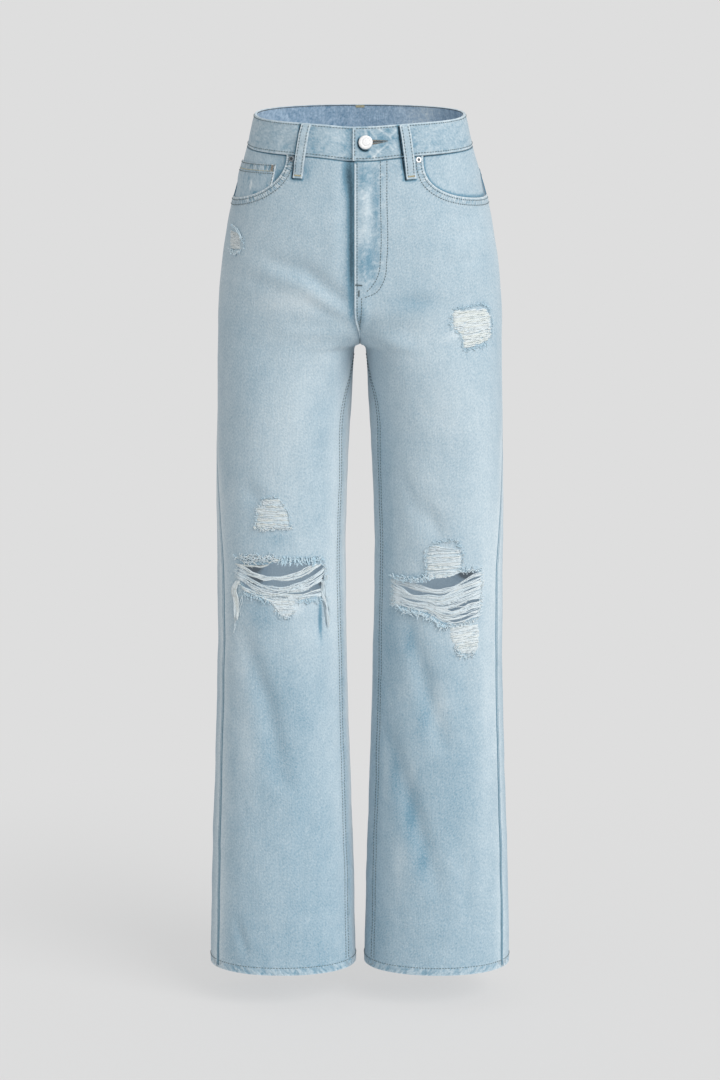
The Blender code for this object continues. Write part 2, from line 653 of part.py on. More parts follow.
def waist_ring(distances, drops, lifts):
    """Points round the waist at distances from the middle front, by the wearer's right side."""
    runs = {(side, part): width_at(side, part, drops) for side in (RIGHT, LEFT)
            for part in (FRONT, BACK)}
    right_front, right_back = runs[RIGHT, FRONT], runs[RIGHT, BACK]
    left_back, left_front = runs[LEFT, BACK], runs[LEFT, FRONT]
    to_side = right_front
    to_back = to_side + right_back
    to_left = to_back + left_back
    girth = to_left + left_front
    result = np.zeros((len(distances), 3))
    stretches = [
        (distances < to_side, RIGHT, FRONT, distances),
        ((distances >= to_side) & (distances < to_back), RIGHT, BACK, to_back - distances),
        ((distances >= to_back) & (distances < to_left), LEFT, BACK, distances - to_back),
        (distances >= to_left, LEFT, FRONT, girth - distances),
    ]
    for chosen, side, part, out in stretches:
        places = np.stack([out[chosen], drops[chosen]], 1)
        result[chosen] = on_cloth(side, part, places, lifts[chosen])
    return result


BAND_GIRTH = sum(float(width_at(side, part, BAND_HEIGHT / 2))
                 for side in (LEFT, RIGHT) for part in (FRONT, BACK))


def band_placer(places, lifts):
    """The strip's own distances are scaled to the girth of each level."""
    distances, drops = places[:, 0], places[:, 1]
    girth = sum(width_at(side, part, drops) for side in (LEFT, RIGHT) for part in (FRONT, BACK))
    past = np.maximum(distances - BAND_GIRTH, 0) + np.minimum(distances, 0)
    round_waist = np.clip(distances, 0, BAND_GIRTH) / BAND_GIRTH * girth + past
    return waist_ring(round_waist, drops, lifts)


def band_lift(places):
    return BAND_PROUD - BAND_SUNK * (1 - smoothstep(0.012, 0.045, places[:, 0]))


def waistband():
    far = BAND_GIRTH + BAND_OVER
    corner = 0.005
    outline = line((-BAND_UNDER, 0.0), (0, 0.0), 0.012) + line((0, 0.0), (far - 0.03, 0.0), 0.019)
    outline += line((far - 0.03, 0.0), (far - corner, 0.0), 0.012)
    for angle in np.radians((0, 30, 60)):
        outline.append((far - corner + corner * math.sin(angle), corner - corner * math.cos(angle)))
    outline += line((far, corner), (far, BAND_HEIGHT), 0.012)
    outline += line((far, BAND_HEIGHT), (far - 0.03, BAND_HEIGHT), 0.012)
    outline += line((far - 0.03, BAND_HEIGHT), (0, BAND_HEIGHT), 0.019)
    outline += line((0, BAND_HEIGHT), (-BAND_UNDER, BAND_HEIGHT), 0.012)
    outline += line((-BAND_UNDER, BAND_HEIGHT), (-BAND_UNDER, 0.0), 0.014)
    eyelet = BAND_GIRTH - BUTTON_X
    hole = [(eyelet + EYELET_RADIUS * math.cos(a), BUTTON_LEVEL + EYELET_RADIUS * math.sin(a))
            for a in np.radians(np.arange(-165, 166, 33))]
    slit_end = BAND_GIRTH - BUTTONHOLE_END
    hole += [(slit_end, BUTTON_LEVEL + 0.0006), (slit_end, BUTTON_LEVEL - 0.0006)]
    flat = cut_flat(outline, 0.019, [BAND_HEIGHT / 3, BAND_HEIGHT * 2 / 3], [hole])
    cloth_piece("waistband", flat, band_placer, band_lift, BAND_WALL, DENIM_TRIM)


# Belt loops: distance from the middle plane at the top and at the bottom.
LOOP_WIDTH, LOOP_LENGTH, LOOP_WALL = 0.0115, 0.065, 0.0016
LOOPS = {
    "loop_front_right": (RIGHT, FRONT, 0.0625, 0.0730),
    "loop_front_left": (LEFT, FRONT, 0.0515, 0.0602),
    "loop_back_right": (RIGHT, BACK, 0.0880, 0.0960),
    "loop_back_left": (LEFT, BACK, 0.0880, 0.0960),
    "loop_back_centre": (LEFT, BACK, 0.0, 0.0),
}
LOOP_BOW = 0.0028             # height of the loop's inner face over the band at its middle
LOOP_SEAT = 0.0004            # height of its sewn ends over what they are sewn to


def belt_loop(name):
    side, part, top_x, low_x = LOOPS[name]
    (top_out, _), (low_out, _) = places_at(side, part, [(top_x, 0.0), (low_x, LOOP_LENGTH)])
    half = LOOP_WIDTH / 2
    top, low = 0.0012, LOOP_LENGTH
    outline = []
    for way in (-1, 1):
        edge = [(top_out + (low_out - top_out) * t + way * half, top + (low - top) * t)
                for t in np.linspace(0, 1, 10)]
        outline += edge if way < 0 else edge[::-1]

    def lift(places):
        along = (places[:, 1] - top) / (low - top)
        on_band = 1 - smoothstep(BAND_HEIGHT, BAND_HEIGHT + 0.004, places[:, 1])
        bow = smoothstep(0.0, 0.22, along) * (1 - smoothstep(0.70, 0.93, along))
        seat = BAND_PROUD * on_band + LOOP_SEAT
        return LOOP_WALL + seat + LOOP_BOW * bow
    cloth_piece(name, cut_flat(outline, 0.02, []), cloth_placer(side, part), lift, LOOP_WALL,
                DENIM_TRIM)


def turned(name, profile, centre, axis, spec, steps):
    """A solid turned from (radius, height) pairs along an axis through centre."""
    axis = axis / np.linalg.norm(axis)
    across = np.cross(axis, (0, 0, 1.0))
    across /= np.linalg.norm(across)
    up = np.cross(across, axis)
    points, faces = [], []
    for radius, height in profile[1:-1]:
        for a in np.arange(steps) * 2 * math.pi / steps:
            points.append(centre + axis * height + (across * math.cos(a) + up * math.sin(a)) * radius)
    first, last = len(points), len(points) + 1
    points += [centre + axis * profile[0][1], centre + axis * profile[-1][1]]
    for k in range(steps):
        n = (k + 1) % steps
        faces.append((first, n, k))
        end = (len(profile) - 3) * steps
        faces.append((last, end + k, end + n))
        for ring in range(len(profile) - 3):
            a, b = ring * steps, (ring + 1) * steps
            faces.append((a + k, a + n, b + n, b + k))
    return add_object(name, points, faces, spec)


# Shank button, heights over the covered end of the band: shank, underside, rim, face.
BUTTON_PROFILE = [(0, 0.0003), (SHANK_RADIUS, 0.0003), (SHANK_RADIUS, 0.0036), (0.0076, 0.0038),
                  (0.0087, 0.0046), (0.0084, 0.0058), (0.0076, 0.0063), (0.0062, 0.0058),
                  (0, 0.0060)]
RIVET_PROFILE = [(0, 0.0003), (0.0041, 0.0003), (0.0041, 0.0007), (0.0034, 0.0013),
                 (0.0020, 0.0014), (0, 0.0014)]
RIVETS = {
    "rivet_right": (RIGHT, 0.0802, 0.0424),
    "rivet_left": (LEFT, 0.0685, 0.0428),
}


def button():
    place = np.array([(-BUTTON_X, BUTTON_LEVEL)])
    lift = band_lift(place)
    centre = on_cloth(RIGHT, FRONT, place, lift)[0]
    axis = on_cloth(RIGHT, FRONT, place, lift + 0.01)[0] - centre
    turned("button", BUTTON_PROFILE, centre, axis, STEEL, 20)


def rivet(name):
    side, x, level = RIVETS[name]
    place = np.array(places_at(side, FRONT, [(x, level)]))
    centre = on_cloth(side, FRONT, place)[0]
    axis = on_cloth(side, FRONT, place, 0.01)[0] - centre
    turned(name, RIVET_PROFILE, centre, axis, STEEL, 12)


for old in list(bpy.data.objects):
    bpy.data.objects.remove(old, do_unlink=True)
for wearer_side in (RIGHT, LEFT):
    front_piece(wearer_side)
    back_piece(wearer_side)
    yoke_piece(wearer_side)
    facing_piece(wearer_side)
waistband()
for loop_name in LOOPS:
    belt_loop(loop_name)
button()
for rivet_name in RIVETS:
    rivet(rivet_name)
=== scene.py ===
"""The looks of a pair of ripped wide-leg jeans: washed denim, topstitching, torn knees and trims.

Everything is in metres. The front faces -Y, +X is the wearer's left and the origin is the middle
of the waist opening. The pieces follow in the order in which the jeans are sewn.
"""
import math

import bpy
import numpy as np
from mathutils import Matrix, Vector, noise
from mathutils.geometry import delaunay_2d_cdt


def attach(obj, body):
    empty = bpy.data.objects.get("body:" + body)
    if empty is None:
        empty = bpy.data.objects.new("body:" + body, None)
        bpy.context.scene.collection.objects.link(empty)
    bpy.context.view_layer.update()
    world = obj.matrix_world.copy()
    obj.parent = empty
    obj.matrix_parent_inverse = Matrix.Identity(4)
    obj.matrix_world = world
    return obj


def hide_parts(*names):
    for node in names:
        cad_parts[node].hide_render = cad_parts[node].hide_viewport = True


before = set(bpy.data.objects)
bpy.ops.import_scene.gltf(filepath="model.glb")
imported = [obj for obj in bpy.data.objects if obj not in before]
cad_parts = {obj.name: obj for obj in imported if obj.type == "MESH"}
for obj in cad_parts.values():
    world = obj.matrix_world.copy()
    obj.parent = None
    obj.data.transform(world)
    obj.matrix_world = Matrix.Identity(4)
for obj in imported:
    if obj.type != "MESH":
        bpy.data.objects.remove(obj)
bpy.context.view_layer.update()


# ---------------------------------------------------------------------------------------------
# Front leg panels. The two fronts of a pair of wide-leg jeans, cut from 12 oz cotton denim and
# stone-washed, each a 1.5 mm wall in the hollow shape that it has when worn. The left one laps
# over the right at the fly, and the cloth is torn away across both knees.
# ---------------------------------------------------------------------------------------------
LENGTH = 1.060                # waistband top at the side seam to hem
CROTCH = 0.277                # level of the crotch below the waistband top
FORK = 0.055                  # height over which the hip ring parts into two legs
ROUNDING = (0.222, 0.350)     # levels over which the flat fronts and backs round into legs
FORK_NEAR = (0.004, 0.050)    # distances from the middle between which the fork gives way to that
ARCH = 0.0065                 # radius of the gap between the legs at the crotch
PARTING = 0.0004              # half the gap between the two leg rings where they meet
TILT_FRONT, TILT_BACK = 0.125, 0.110   # fall of the waist to the front, rise to the back
TILT_ENDS = 0.25              # level where that tilt has faded out
DIP, DIP_REACH = 0.0055, 0.045   # how far the band sags at the centre front, and over what width
DIP_ENDS = (0.060, 0.160)     # levels between which that sag runs out
DIP_TOP = 0.55                # share of it that is left at the band's top edge
HIP_FULLNESS = 2.3            # exponent of the section curve, 2 being an ellipse
LEG_FULLNESS = 2.15
DENIM = 0.0015                # wall of one cloth panel
SEAM = 0.0003                 # gap between neighbouring pieces
BAND_HEIGHT = 0.0375          # the waistband's, which the panels start under
LEFT, RIGHT = 1, -1           # the wearer's sides, as the sign of x
FRONT, BACK = "front", "back"
GRID_STEP = 0.0025            # rows of the stored cloth surface
GRID_COLUMNS = 84
SECTION_POINTS = 301
FINE = 0.0036                 # distance between the points of a panel
AT_ONCE = 2_000_000           # how many places times edges are compared at once

# The girth at each level. Outer and inner are distances from the middle plane, front and back are
# depths from the side plane, and the turns say how far forward of it each leg seam runs.
SECTIONS = np.array([
    # level  outer   inner   front   back   outseam turn  inseam turn (degrees)
    (0.000, 0.1265, 0.0000, 0.1000, 0.0980, 0, 0),
    (0.041, 0.1362, 0.0000, 0.1055, 0.1060, 0, 0),
    (0.098, 0.1532, 0.0000, 0.1115, 0.1200, 0, 0),
    (0.155, 0.1646, 0.0000, 0.1125, 0.1290, 0, 0),
    (0.222, 0.1720, 0.0000, 0.1080, 0.1290, 0, 0),
    (0.277, 0.1733, 0.0062, 0.1000, 0.1150, 0, 0),
    (0.340, 0.1745, 0.0102, 0.0930, 0.1020, 0, 24),
    (0.440, 0.1763, 0.0155, 0.0850, 0.0890, 14, 24),
    (0.540, 0.1769, 0.0181, 0.0800, 0.0800, 26, 24),
    (0.640, 0.1767, 0.0165, 0.0775, 0.0770, 27, 24),
    (0.795, 0.1811, 0.0127, 0.0740, 0.0750, 27, 24),
    (0.950, 0.1870, 0.0079, 0.0715, 0.0740, 28, 24),
    (1.060, 0.1890, 0.0058, 0.0690, 0.0730, 28, 24),
])

# The folds of the cloth: a line of (distance from the middle plane, level), the half width of the
# fold and its height off the cloth, negative for a trough.
FOLDS = [
    # side, part, line, half width, height
    (RIGHT, FRONT, ((0.104, 0.172), (0.064, 0.185), (0.014, 0.226)), 0.011, -0.0040),
    (RIGHT, FRONT, ((0.110, 0.187), (0.064, 0.203), (0.014, 0.240)), 0.010, 0.0025),
    (RIGHT, FRONT, ((0.142, 0.630), (0.113, 0.713), (0.096, 0.808)), 0.013, -0.0050),
    (RIGHT, FRONT, ((0.134, 0.445), (0.122, 0.466)), 0.012, -0.0030),
    (LEFT, FRONT, ((0.018, 0.252), (0.074, 0.256)), 0.012, -0.0026),
    (LEFT, FRONT, ((0.076, 0.465), (0.097, 0.508)), 0.011, -0.0035),
    (LEFT, FRONT, ((0.062, 0.618), (0.082, 0.700), (0.101, 0.765)), 0.012, -0.0050),
    (LEFT, FRONT, ((0.034, 0.755), (0.065, 0.850), (0.094, 0.945)), 0.013, -0.0050),
    (LEFT, FRONT, ((0.135, 0.655), (0.124, 0.710)), 0.011, -0.0030),
    (RIGHT, BACK, ((0.036, 0.285), (0.080, 0.312), (0.128, 0.322)), 0.015, -0.0035),
    (RIGHT, BACK, ((0.060, 0.490), (0.105, 0.520)), 0.012, -0.0040),
    (RIGHT, BACK, ((0.060, 0.640), (0.095, 0.740), (0.110, 0.860)), 0.014, -0.0045),
    (LEFT, BACK, ((0.038, 0.292), (0.082, 0.320), (0.132, 0.330)), 0.015, -0.0035),
    (LEFT, BACK, ((0.055, 0.515), (0.110, 0.500)), 0.012, -0.0040),
    (LEFT, BACK, ((0.125, 0.600), (0.100, 0.720), (0.070, 0.880)), 0.014, -0.0045),
    # smaller ones
    (RIGHT, FRONT, ((0.060, 0.222), (0.012, 0.246)), 0.008, -0.0018),
    (RIGHT, FRONT, ((0.088, 0.257), (0.014, 0.259)), 0.007, 0.0012),
    (LEFT, FRONT, ((0.047, 0.220), (0.091, 0.219)), 0.007, -0.0014),
    (LEFT, FRONT, ((0.027, 0.268), (0.064, 0.277)), 0.007, 0.0014),
    (LEFT, FRONT, ((0.145, 0.120), (0.094, 0.123)), 0.006, -0.0008),
    (LEFT, FRONT, ((0.150, 0.136), (0.100, 0.142)), 0.006, -0.0008),
    (LEFT, FRONT, ((0.153, 0.170), (0.094, 0.178)), 0.007, -0.0009),
    (RIGHT, FRONT, ((0.150, 0.190), (0.110, 0.200)), 0.008, -0.0010),
    (RIGHT, FRONT, ((0.153, 0.997), (0.142, 1.033)), 0.006, -0.0022),
    (RIGHT, FRONT, ((0.0487, 0.592), (0.0487, 0.636)), 0.0035, -0.0030),
    (LEFT, FRONT, ((0.050, 0.430), (0.078, 0.500)), 0.008, -0.0012),
    (RIGHT, FRONT, ((0.055, 0.800), (0.075, 0.930)), 0.011, -0.0015),
    (LEFT, FRONT, ((0.120, 0.870), (0.135, 0.980)), 0.011, -0.0014),
    (RIGHT, FRONT, ((0.018, 0.060), (0.018, 0.190)), 0.008, -0.0028),
]
FOLD_FADE = 0.10              # share of a panel's width over which folds die out at its seams
FOLD_ENDS = 0.45              # share of its height that a fold has at its two ends


def smooth_rows(table, at):
    """Read a table between its rows along smooth curves. Its first column is what `at` is in."""
    key, columns = table[:, 0], table[:, 1:]
    slope = np.gradient(columns, key, axis=0)
    i = np.clip(np.searchsorted(key, at) - 1, 0, len(key) - 2)
    gap = (key[i + 1] - key[i])[:, None]
    t = (at[:, None] - key[i][:, None]) / gap
    start = columns[i] * (1 + 2 * t) + slope[i] * gap * t
    end = columns[i + 1] * (3 - 2 * t) - slope[i + 1] * gap * (1 - t)
    return start * (1 - t) ** 2 + end * t ** 2


def smoothstep(low, high, value):
    """0 up to `low`, 1 from `high` and smooth between; it runs down where `low` is the larger."""
    t = np.clip((value - low) / (high - low), 0, 1)
    return t * t * (3 - 2 * t)


FORK_TOP = CROTCH - FORK
FORK_DROP = FORK * math.pi / 2            # the cloth's own length down the fork
DROP_END = LENGTH - CROTCH + FORK_TOP + FORK_DROP


def level_at(drop):
    """The level and how far the legs have parted (0 to 1) at a drop down the cloth."""
    turn = np.clip((drop - FORK_TOP) / FORK, 0, math.pi / 2)
    below = np.maximum(drop - FORK_TOP - FORK_DROP, 0)
    level = np.minimum(drop, FORK_TOP) + FORK * np.sin(turn) + below
    return level, 1 - np.cos(turn)


def drop_at(level):
    """How far down the cloth a level is, at its inner edge."""
    inside_fork = np.arcsin(np.clip((level - FORK_TOP) / FORK, 0, 1)) * FORK
    return np.minimum(level, FORK_TOP) + inside_fork + np.maximum(level - CROTCH, 0)


def between(grid, row, column):
    """Values of a grid between its rows and columns."""
    i = np.clip(row.astype(int), 0, grid.shape[0] - 2)
    j = np.clip(column.astype(int), 0, grid.shape[1] - 2)
    a, b = (row - i)[:, None], (column - j)[:, None]
    upper = grid[i, j] * (1 - b) + grid[i, j + 1] * b
    lower = grid[i + 1, j] * (1 - b) + grid[i + 1, j + 1] * b
    return upper * (1 - a) + lower * a


def section_line(part, level, parted, section):
    """The front or back line of one side's section, from its inner edge to the outseam."""
    outer, inner, front, back, out_turn, in_turn = section
    way, depth = (-1, front) if part == FRONT else (1, back)
    into_arch = np.clip((level - CROTCH) / ARCH, 0, 1)
    inner = max(inner * math.sqrt(1 - (1 - into_arch) ** 2), PARTING * parted)
    in_turn = in_turn if level > CROTCH else 0
    angle = np.radians(np.linspace(180 * way + in_turn, -out_turn, SECTION_POINTS))
    cos, sin = np.cos(angle), np.sin(angle)
    x = (outer + inner) / 2 + (outer - inner) / 2 * np.sign(cos) * np.abs(cos) ** (2 / LEG_FULLNESS)
    leg_depth = np.where(sin < 0, front, back)
    leg_y = leg_depth * np.sign(sin) * np.abs(sin) ** (2 / LEG_FULLNESS)
    hip_y = way * depth * np.clip(1 - (x / outer) ** HIP_FULLNESS, 0, 1) ** (1 / HIP_FULLNESS)
    away = smoothstep(*FORK_NEAR, x)
    leg_share = parted * (1 - away) + smoothstep(*ROUNDING, level) * away
    y = hip_y * (1 - leg_share) + leg_y * leg_share
    run = np.append(0, np.cumsum(np.hypot(np.diff(x), np.diff(y))))
    middle = np.interp(0, (angle - way * math.pi / 2) * -way, run)
    half = GRID_COLUMNS // 2
    even = np.append(np.linspace(0, middle, half + 1)[:-1], np.linspace(middle, run[-1], half + 1))
    return np.stack([np.interp(even, run, x), np.interp(even, run, y)], 1)


def cloth_surface(part):
    """The left half of the cloth without folds, the level of each point, and where its grain runs.

    Rows go down it and columns out from its inner edge. Down the fork the inner edge turns level
    and runs back between the legs, so there the rows hang lower at that edge than at the outseam.
    """
    drops = np.arange(0, DROP_END + 2 * GRID_STEP, GRID_STEP)
    levels, parted = level_at(drops)
    stack = np.array([section_line(part, *row) for row in zip(
        levels, parted, smooth_rows(SECTIONS, levels))])
    steady = levels - FORK * np.sin(np.clip((drops - FORK_TOP) / FORK, 0, math.pi / 2))
    steady += np.clip(drops - FORK_TOP, 0, FORK_DROP) * 2 / math.pi
    away = smoothstep(0, 0.5, np.linspace(0, 1, GRID_COLUMNS + 1))
    level = levels[:, None] * (1 - away) + steady[:, None] * away
    columns = np.broadcast_to(np.arange(GRID_COLUMNS + 1.0), level.shape)
    runs = np.cumsum(np.linalg.norm(np.diff(stack, axis=1, prepend=stack[:, :1]), axis=2), axis=1)
    runs -= runs[:, GRID_COLUMNS // 2:GRID_COLUMNS // 2 + 1]
    stack = np.dstack([stack, runs])
    flat = between(stack, drop_at(level).ravel() / GRID_STEP, columns.ravel())
    flat = flat.reshape(*level.shape, 3)
    grain = np.dstack([flat[..., 2], level])
    x, y = flat[..., 0], flat[..., 1]
    tilt = np.where(y < 0, TILT_FRONT, TILT_BACK) * (1 - smoothstep(0, TILT_ENDS, level))
    dip = DIP * np.exp(-(x / DIP_REACH) ** 2) * (1 - smoothstep(*DIP_ENDS, level)) * (y < 0)
    dip *= DIP_TOP + (1 - DIP_TOP) * smoothstep(0, BAND_HEIGHT, level)
    return np.dstack([x, y, y * tilt - level - dip]), level, grain


def unit(vectors):
    return vectors / np.linalg.norm(vectors, axis=-1, keepdims=True)


def fold_heights(points, line, half_width):
    """How much of a fold is at each point of the cloth, seen from the front or back."""
    line = np.array(line)
    place = np.stack([np.abs(points[..., 0]), -points[..., 2]], -1)
    lengths = np.hypot(*np.diff(line, axis=0).T)
    best = np.zeros(place.shape[:2])
    for i, length in enumerate(lengths):
        along = (line[i + 1] - line[i]) / length
        offset = place - line[i]
        t = np.clip(offset @ along, 0, length)
        apart = np.linalg.norm(offset - t[..., None] * along, axis=-1)
        gone = (lengths[:i].sum() + t) / lengths.sum()
        height = FOLD_ENDS + (1 - FOLD_ENDS) * np.sin(math.pi * gone)
        best = np.maximum(best, np.exp(-(apart / half_width) ** 2) * height)
    return best


def outward(points, part, side):
    """The cloth's normals, away from the wearer."""
    normal = np.cross(np.gradient(points, axis=1), np.gradient(points, axis=0))
    return unit(normal * side * (-1 if part == FRONT else 1))


def folded_cloth(side, part):
    """The cloth of one side with its folds.

    Its points and outward normals, how far out along its row each point is, its level, and the
    place across and along the grain.
    """
    points, level, grain = cloth_surface(part)
    points *= (side, 1, 1)
    share = np.linspace(0, 1, GRID_COLUMNS + 1)
    keep = smoothstep(0, FOLD_FADE, share) * smoothstep(0, FOLD_FADE, 1 - share)
    height = np.zeros(points.shape[:2])
    for fold_side, fold_part, fold, half_width, fold_height in FOLDS:
        if (fold_side, fold_part) == (side, part):
            height += fold_height * fold_heights(points, fold, half_width)
    points += outward(points, part, side) * (height * keep)[..., None]
    steps = np.linalg.norm(np.diff(points, axis=1, prepend=points[:, :1]), axis=-1)
    return points, outward(points, part, side), np.cumsum(steps, axis=1), level, grain


CLOTH = {(side, part): folded_cloth(side, part) for side in (LEFT, RIGHT) for part in (FRONT, BACK)}


def width_at(side, part, drop):
    """How far out the cloth goes at a drop, which is where the outseam runs."""
    width = CLOTH[side, part][2][:, -1]
    return np.interp(drop, np.arange(len(width)) * GRID_STEP, width)


def column_at(grid, row, value):
    """The column at which a grid, read at these rows, reaches each value."""
    i = np.clip(row.astype(int), 0, len(grid) - 2)
    a = (row - i)[:, None]
    runs = grid[i] * (1 - a) + grid[i + 1] * a
    j = np.clip((runs <= value[:, None]).sum(1) - 1, 0, runs.shape[1] - 2)
    k = np.arange(len(j))
    return j + (value - runs[k, j]) / (runs[k, j + 1] - runs[k, j])


def on_cloth(side, part, places, lift=0.0):
    """Points in space of (out, drop) places, lifted off the cloth; out < 0 is past the middle."""
    out, row = places[:, 0], places[:, 1] / GRID_STEP
    points, normals, out_grid = CLOTH[side, part][:3]
    column = column_at(out_grid, row, np.abs(out))
    spot = between(points, row, column) + between(normals, row, column) * np.reshape(lift, (-1, 1))
    spot[:, 0] *= np.where(out < 0, -1, 1)
    return spot


def grain_at(side, part, places):
    """Where (out, drop) places lie across and along the grain, apart for each panel."""
    row = places[:, 1] / GRID_STEP
    grain = CLOTH[side, part][4]
    across = between(grain, row, column_at(CLOTH[side, part][2], row, np.abs(places[:, 0])))
    return np.column_stack([across, np.full(len(places), 0.3 * side + (part == BACK))])


def places_at(side, part, spots):
    """The (out, drop) places of spots given as distances from the middle plane and levels."""
    points, _, out_grid, levels, _ = CLOTH[side, part]
    spots = np.array(spots, float)
    x, level = np.abs(spots[:, 0]), spots[:, 1]
    drop = level.copy()
    for _ in range(12):           # enough to reach the level to within a hair
        row = np.clip(drop / GRID_STEP, 0, len(levels) - 1.001)
        column = column_at(np.abs(points[..., 0]), row, x)
        drop += level - between(levels[..., None], row, column)[:, 0]
    out = between(out_grid[..., None], row, column)[:, 0]
    return np.stack([np.copysign(out, spots[:, 0]), drop], 1)


def line(start, end, step):
    """Places from one place up to, but not including, another."""
    start, end = np.array(start, float), np.array(end, float)
    count = max(1, round(float(np.linalg.norm(end - start)) / step))
    return [tuple(start + (end - start) * i / count) for i in range(count)]


def down_edge(edge, start, end, step=FINE):
    """Places along an edge, given as a function of the drop, up to but not including its end."""
    count = max(1, round(abs(end - start) / step))
    return [(edge(d), d) for d in np.linspace(start, end, count + 1)[:-1]]


def run_of(places):
    """How far along a line each of its places is."""
    return np.append(0, np.cumsum(np.linalg.norm(np.diff(places, axis=0), axis=1)))


def evenly(places, step):
    """A line of places drawn again with its points at even distances."""
    places = np.array(places)
    run = run_of(places)
    even = np.linspace(0, run[-1], max(2, round(run[-1] / step) + 1))
    return np.stack([np.interp(even, run, places[:, 0]), np.interp(even, run, places[:, 1])], 1)


def beside(places, distance):
    """A line of places moved sideways by a distance, to the right of the way it runs if more than 0."""
    places = np.array(places)
    way = unit(np.gradient(places, axis=0))
    return places + np.stack([-way[:, 1], way[:, 0]], 1) * distance


def nearest(places, line_places):
    """How far each place is from a line, and how far along the line its nearest point is."""
    a, run = line_places[:-1], np.diff(line_places, axis=0)
    length = np.maximum(np.linalg.norm(run, axis=1), 1e-12)
    before = np.append(0, np.cumsum(length))[:-1]
    apart, along = [], []
    for some in np.array_split(places, max(1, len(places) * len(a) // AT_ONCE)):
        t = np.clip(((some[:, None] - a) * run).sum(-1) / length ** 2, 0, 1)
        gap = np.linalg.norm(some[:, None] - a - t[..., None] * run, axis=-1)
        best = gap.argmin(1)
        k = np.arange(len(some))
        apart.append(gap[k, best])
        along.append(before[best] + t[k, best] * length[best])
    return np.concatenate(apart), np.concatenate(along)


def inside(places, loop):
    """Whether each place lies in a closed loop."""
    a, b = np.array(loop), np.roll(loop, -1, axis=0)
    rise = np.where(a[:, 1] == b[:, 1], 1, b[:, 1] - a[:, 1])
    found = []
    for some in np.array_split(places, max(1, len(places) * len(a) // AT_ONCE)):
        x, y = some[:, :1], some[:, 1:]
        crosses = (a[:, 1] > y) != (b[:, 1] > y)
        hit = x < a[:, 0] + (y - a[:, 1]) * (b[:, 0] - a[:, 0]) / rise
        found.append((crosses & hit).sum(1) % 2 == 1)
    return np.concatenate(found)


def cut_flat(outline, step=FINE, holes=(), extra=()):
    """Triangles that fill an outline around its holes, with inner places on staggered rows.

    Lines of extra places are kept too, where the finish changes over less than a step.
    """
    loops = [np.array(loop) for loop in (outline, *holes)]
    low, high = loops[0].min(0), loops[0].max(0)
    rows = np.arange(low[1] + step * 0.6, high[1], step * 0.87)
    inner = np.array([(x + step / 2 * (k % 2), drop) for k, drop in enumerate(rows)
                      for x in np.arange(low[0], high[0], step)])

    def clear(places, share):
        """The places inside the outline and outside its holes, clear of their edges."""
        for number, loop in enumerate(loops):
            places = places[inside(places, loop) == (number == 0)]
            places = places[nearest(places, np.vstack([loop, loop[:1]]))[0] > step * share]
        return places

    inner = clear(inner, 0.45)
    for kept in extra:
        inner = inner[nearest(inner, np.array(kept))[0] > step * 0.4]
    inner = np.vstack([inner, *[clear(np.array(kept), 0.3) for kept in extra]])
    edges, first = [], 0
    for loop in loops:
        edges += [(first + i, first + (i + 1) % len(loop)) for i in range(len(loop))]
        first += len(loop)
    verts, _, faces, *_ = delaunay_2d_cdt(np.vstack([*loops, inner]).tolist(), edges, [], 1, 1e-7)
    verts, faces = np.array(verts), np.array(faces)
    middles = verts[faces].mean(1)
    keep = inside(middles, loops[0])
    for hole in loops[1:]:
        keep &= ~inside(middles, hole)
    used, faces = np.unique(faces[keep], return_inverse=True)
    return verts[used], faces.reshape(-1, 3)


def linear(hex_colour):
    """A colour written in sRGB hex, as the linear values that the shaders take."""
    srgb = [int(hex_colour[i:i + 2], 16) / 255 for i in (1, 3, 5)]
    return (*[v / 12.92 if v <= 0.04045 else ((v + 0.055) / 1.055) ** 2.4 for v in srgb], 1.0)


def feed(node, inputs):
    """Sets a node's inputs to values, or links them to other nodes' outputs."""
    for key, value in dict(inputs).items():
        if isinstance(value, bpy.types.NodeSocket):
            node.id_data.links.new(value, node.inputs[key])
        else:
            node.inputs[key].default_value = value


def add(tree, kind, inputs=(), out=None, **settings):
    """Adds a node, and gives the output that is named or else the first that is in use."""
    node = tree.nodes.new("ShaderNode" + kind)
    for name, value in settings.items():
        setattr(node, name, value)
    feed(node, inputs)
    return node.outputs[out] if out else next(socket for socket in node.outputs if socket.enabled)


def new_material(name):
    """A material with a bare Principled shader, its node tree and that shader."""
    made = bpy.data.materials.new(name)
    made.use_nodes = True
    return made, made.node_tree, made.node_tree.nodes["Principled BSDF"]


FRONT_RIPPLE = ((0.052, 0.0009), (0.019, 0.00035))   # size and height of the cloth's small waves
HEM_FOLD = 0.0095             # width of the folded hem
RIDGE_EDGE = (0.0085, 0.0105)   # how far from a folded edge its double cloth comes down
SHARP_ANGLE = math.radians(42)
LOWER_BLUE, LOWER_BLUE_FROM = 0.20, (0.54, 0.70)
# painted light towards the outseams: strength by side, width, and the levels where it starts
SIDE_LIGHT, SIDE_LIGHT_WIDE, SIDE_LIGHT_FROM = {RIGHT: 0.55, LEFT: 0.36}, 0.015, (0.10, 0.30)
# painted shadow at the crotch: strength, and the levels where it starts and ends
CROTCH_SHADE = 2.6
CROTCH_SHADE_FROM, CROTCH_SHADE_TO = (0.268, 0.274), (0.283, 0.300)   # levels
SEAM_RIDGE = ((0.5, 0.0036), (1.06, 0.0018))   # levels, and how far in the outseam's dark line is
CROTCH_DROP = FORK_TOP + FORK_DROP
CENTRE_FRONT = -0.0065        # x of the fly's edge
FLY_LAP = 0.0090              # how far the front pieces lap under the fly
FLY_PROUD = 0.0020            # the lapping front's height over the other
FLY_FOLD = (0.0045, 0.0145)   # how far out the lapping front comes down to the cloth
LAP_ENDS = (0.245, 0.262)     # levels between which the covered front's lap runs out
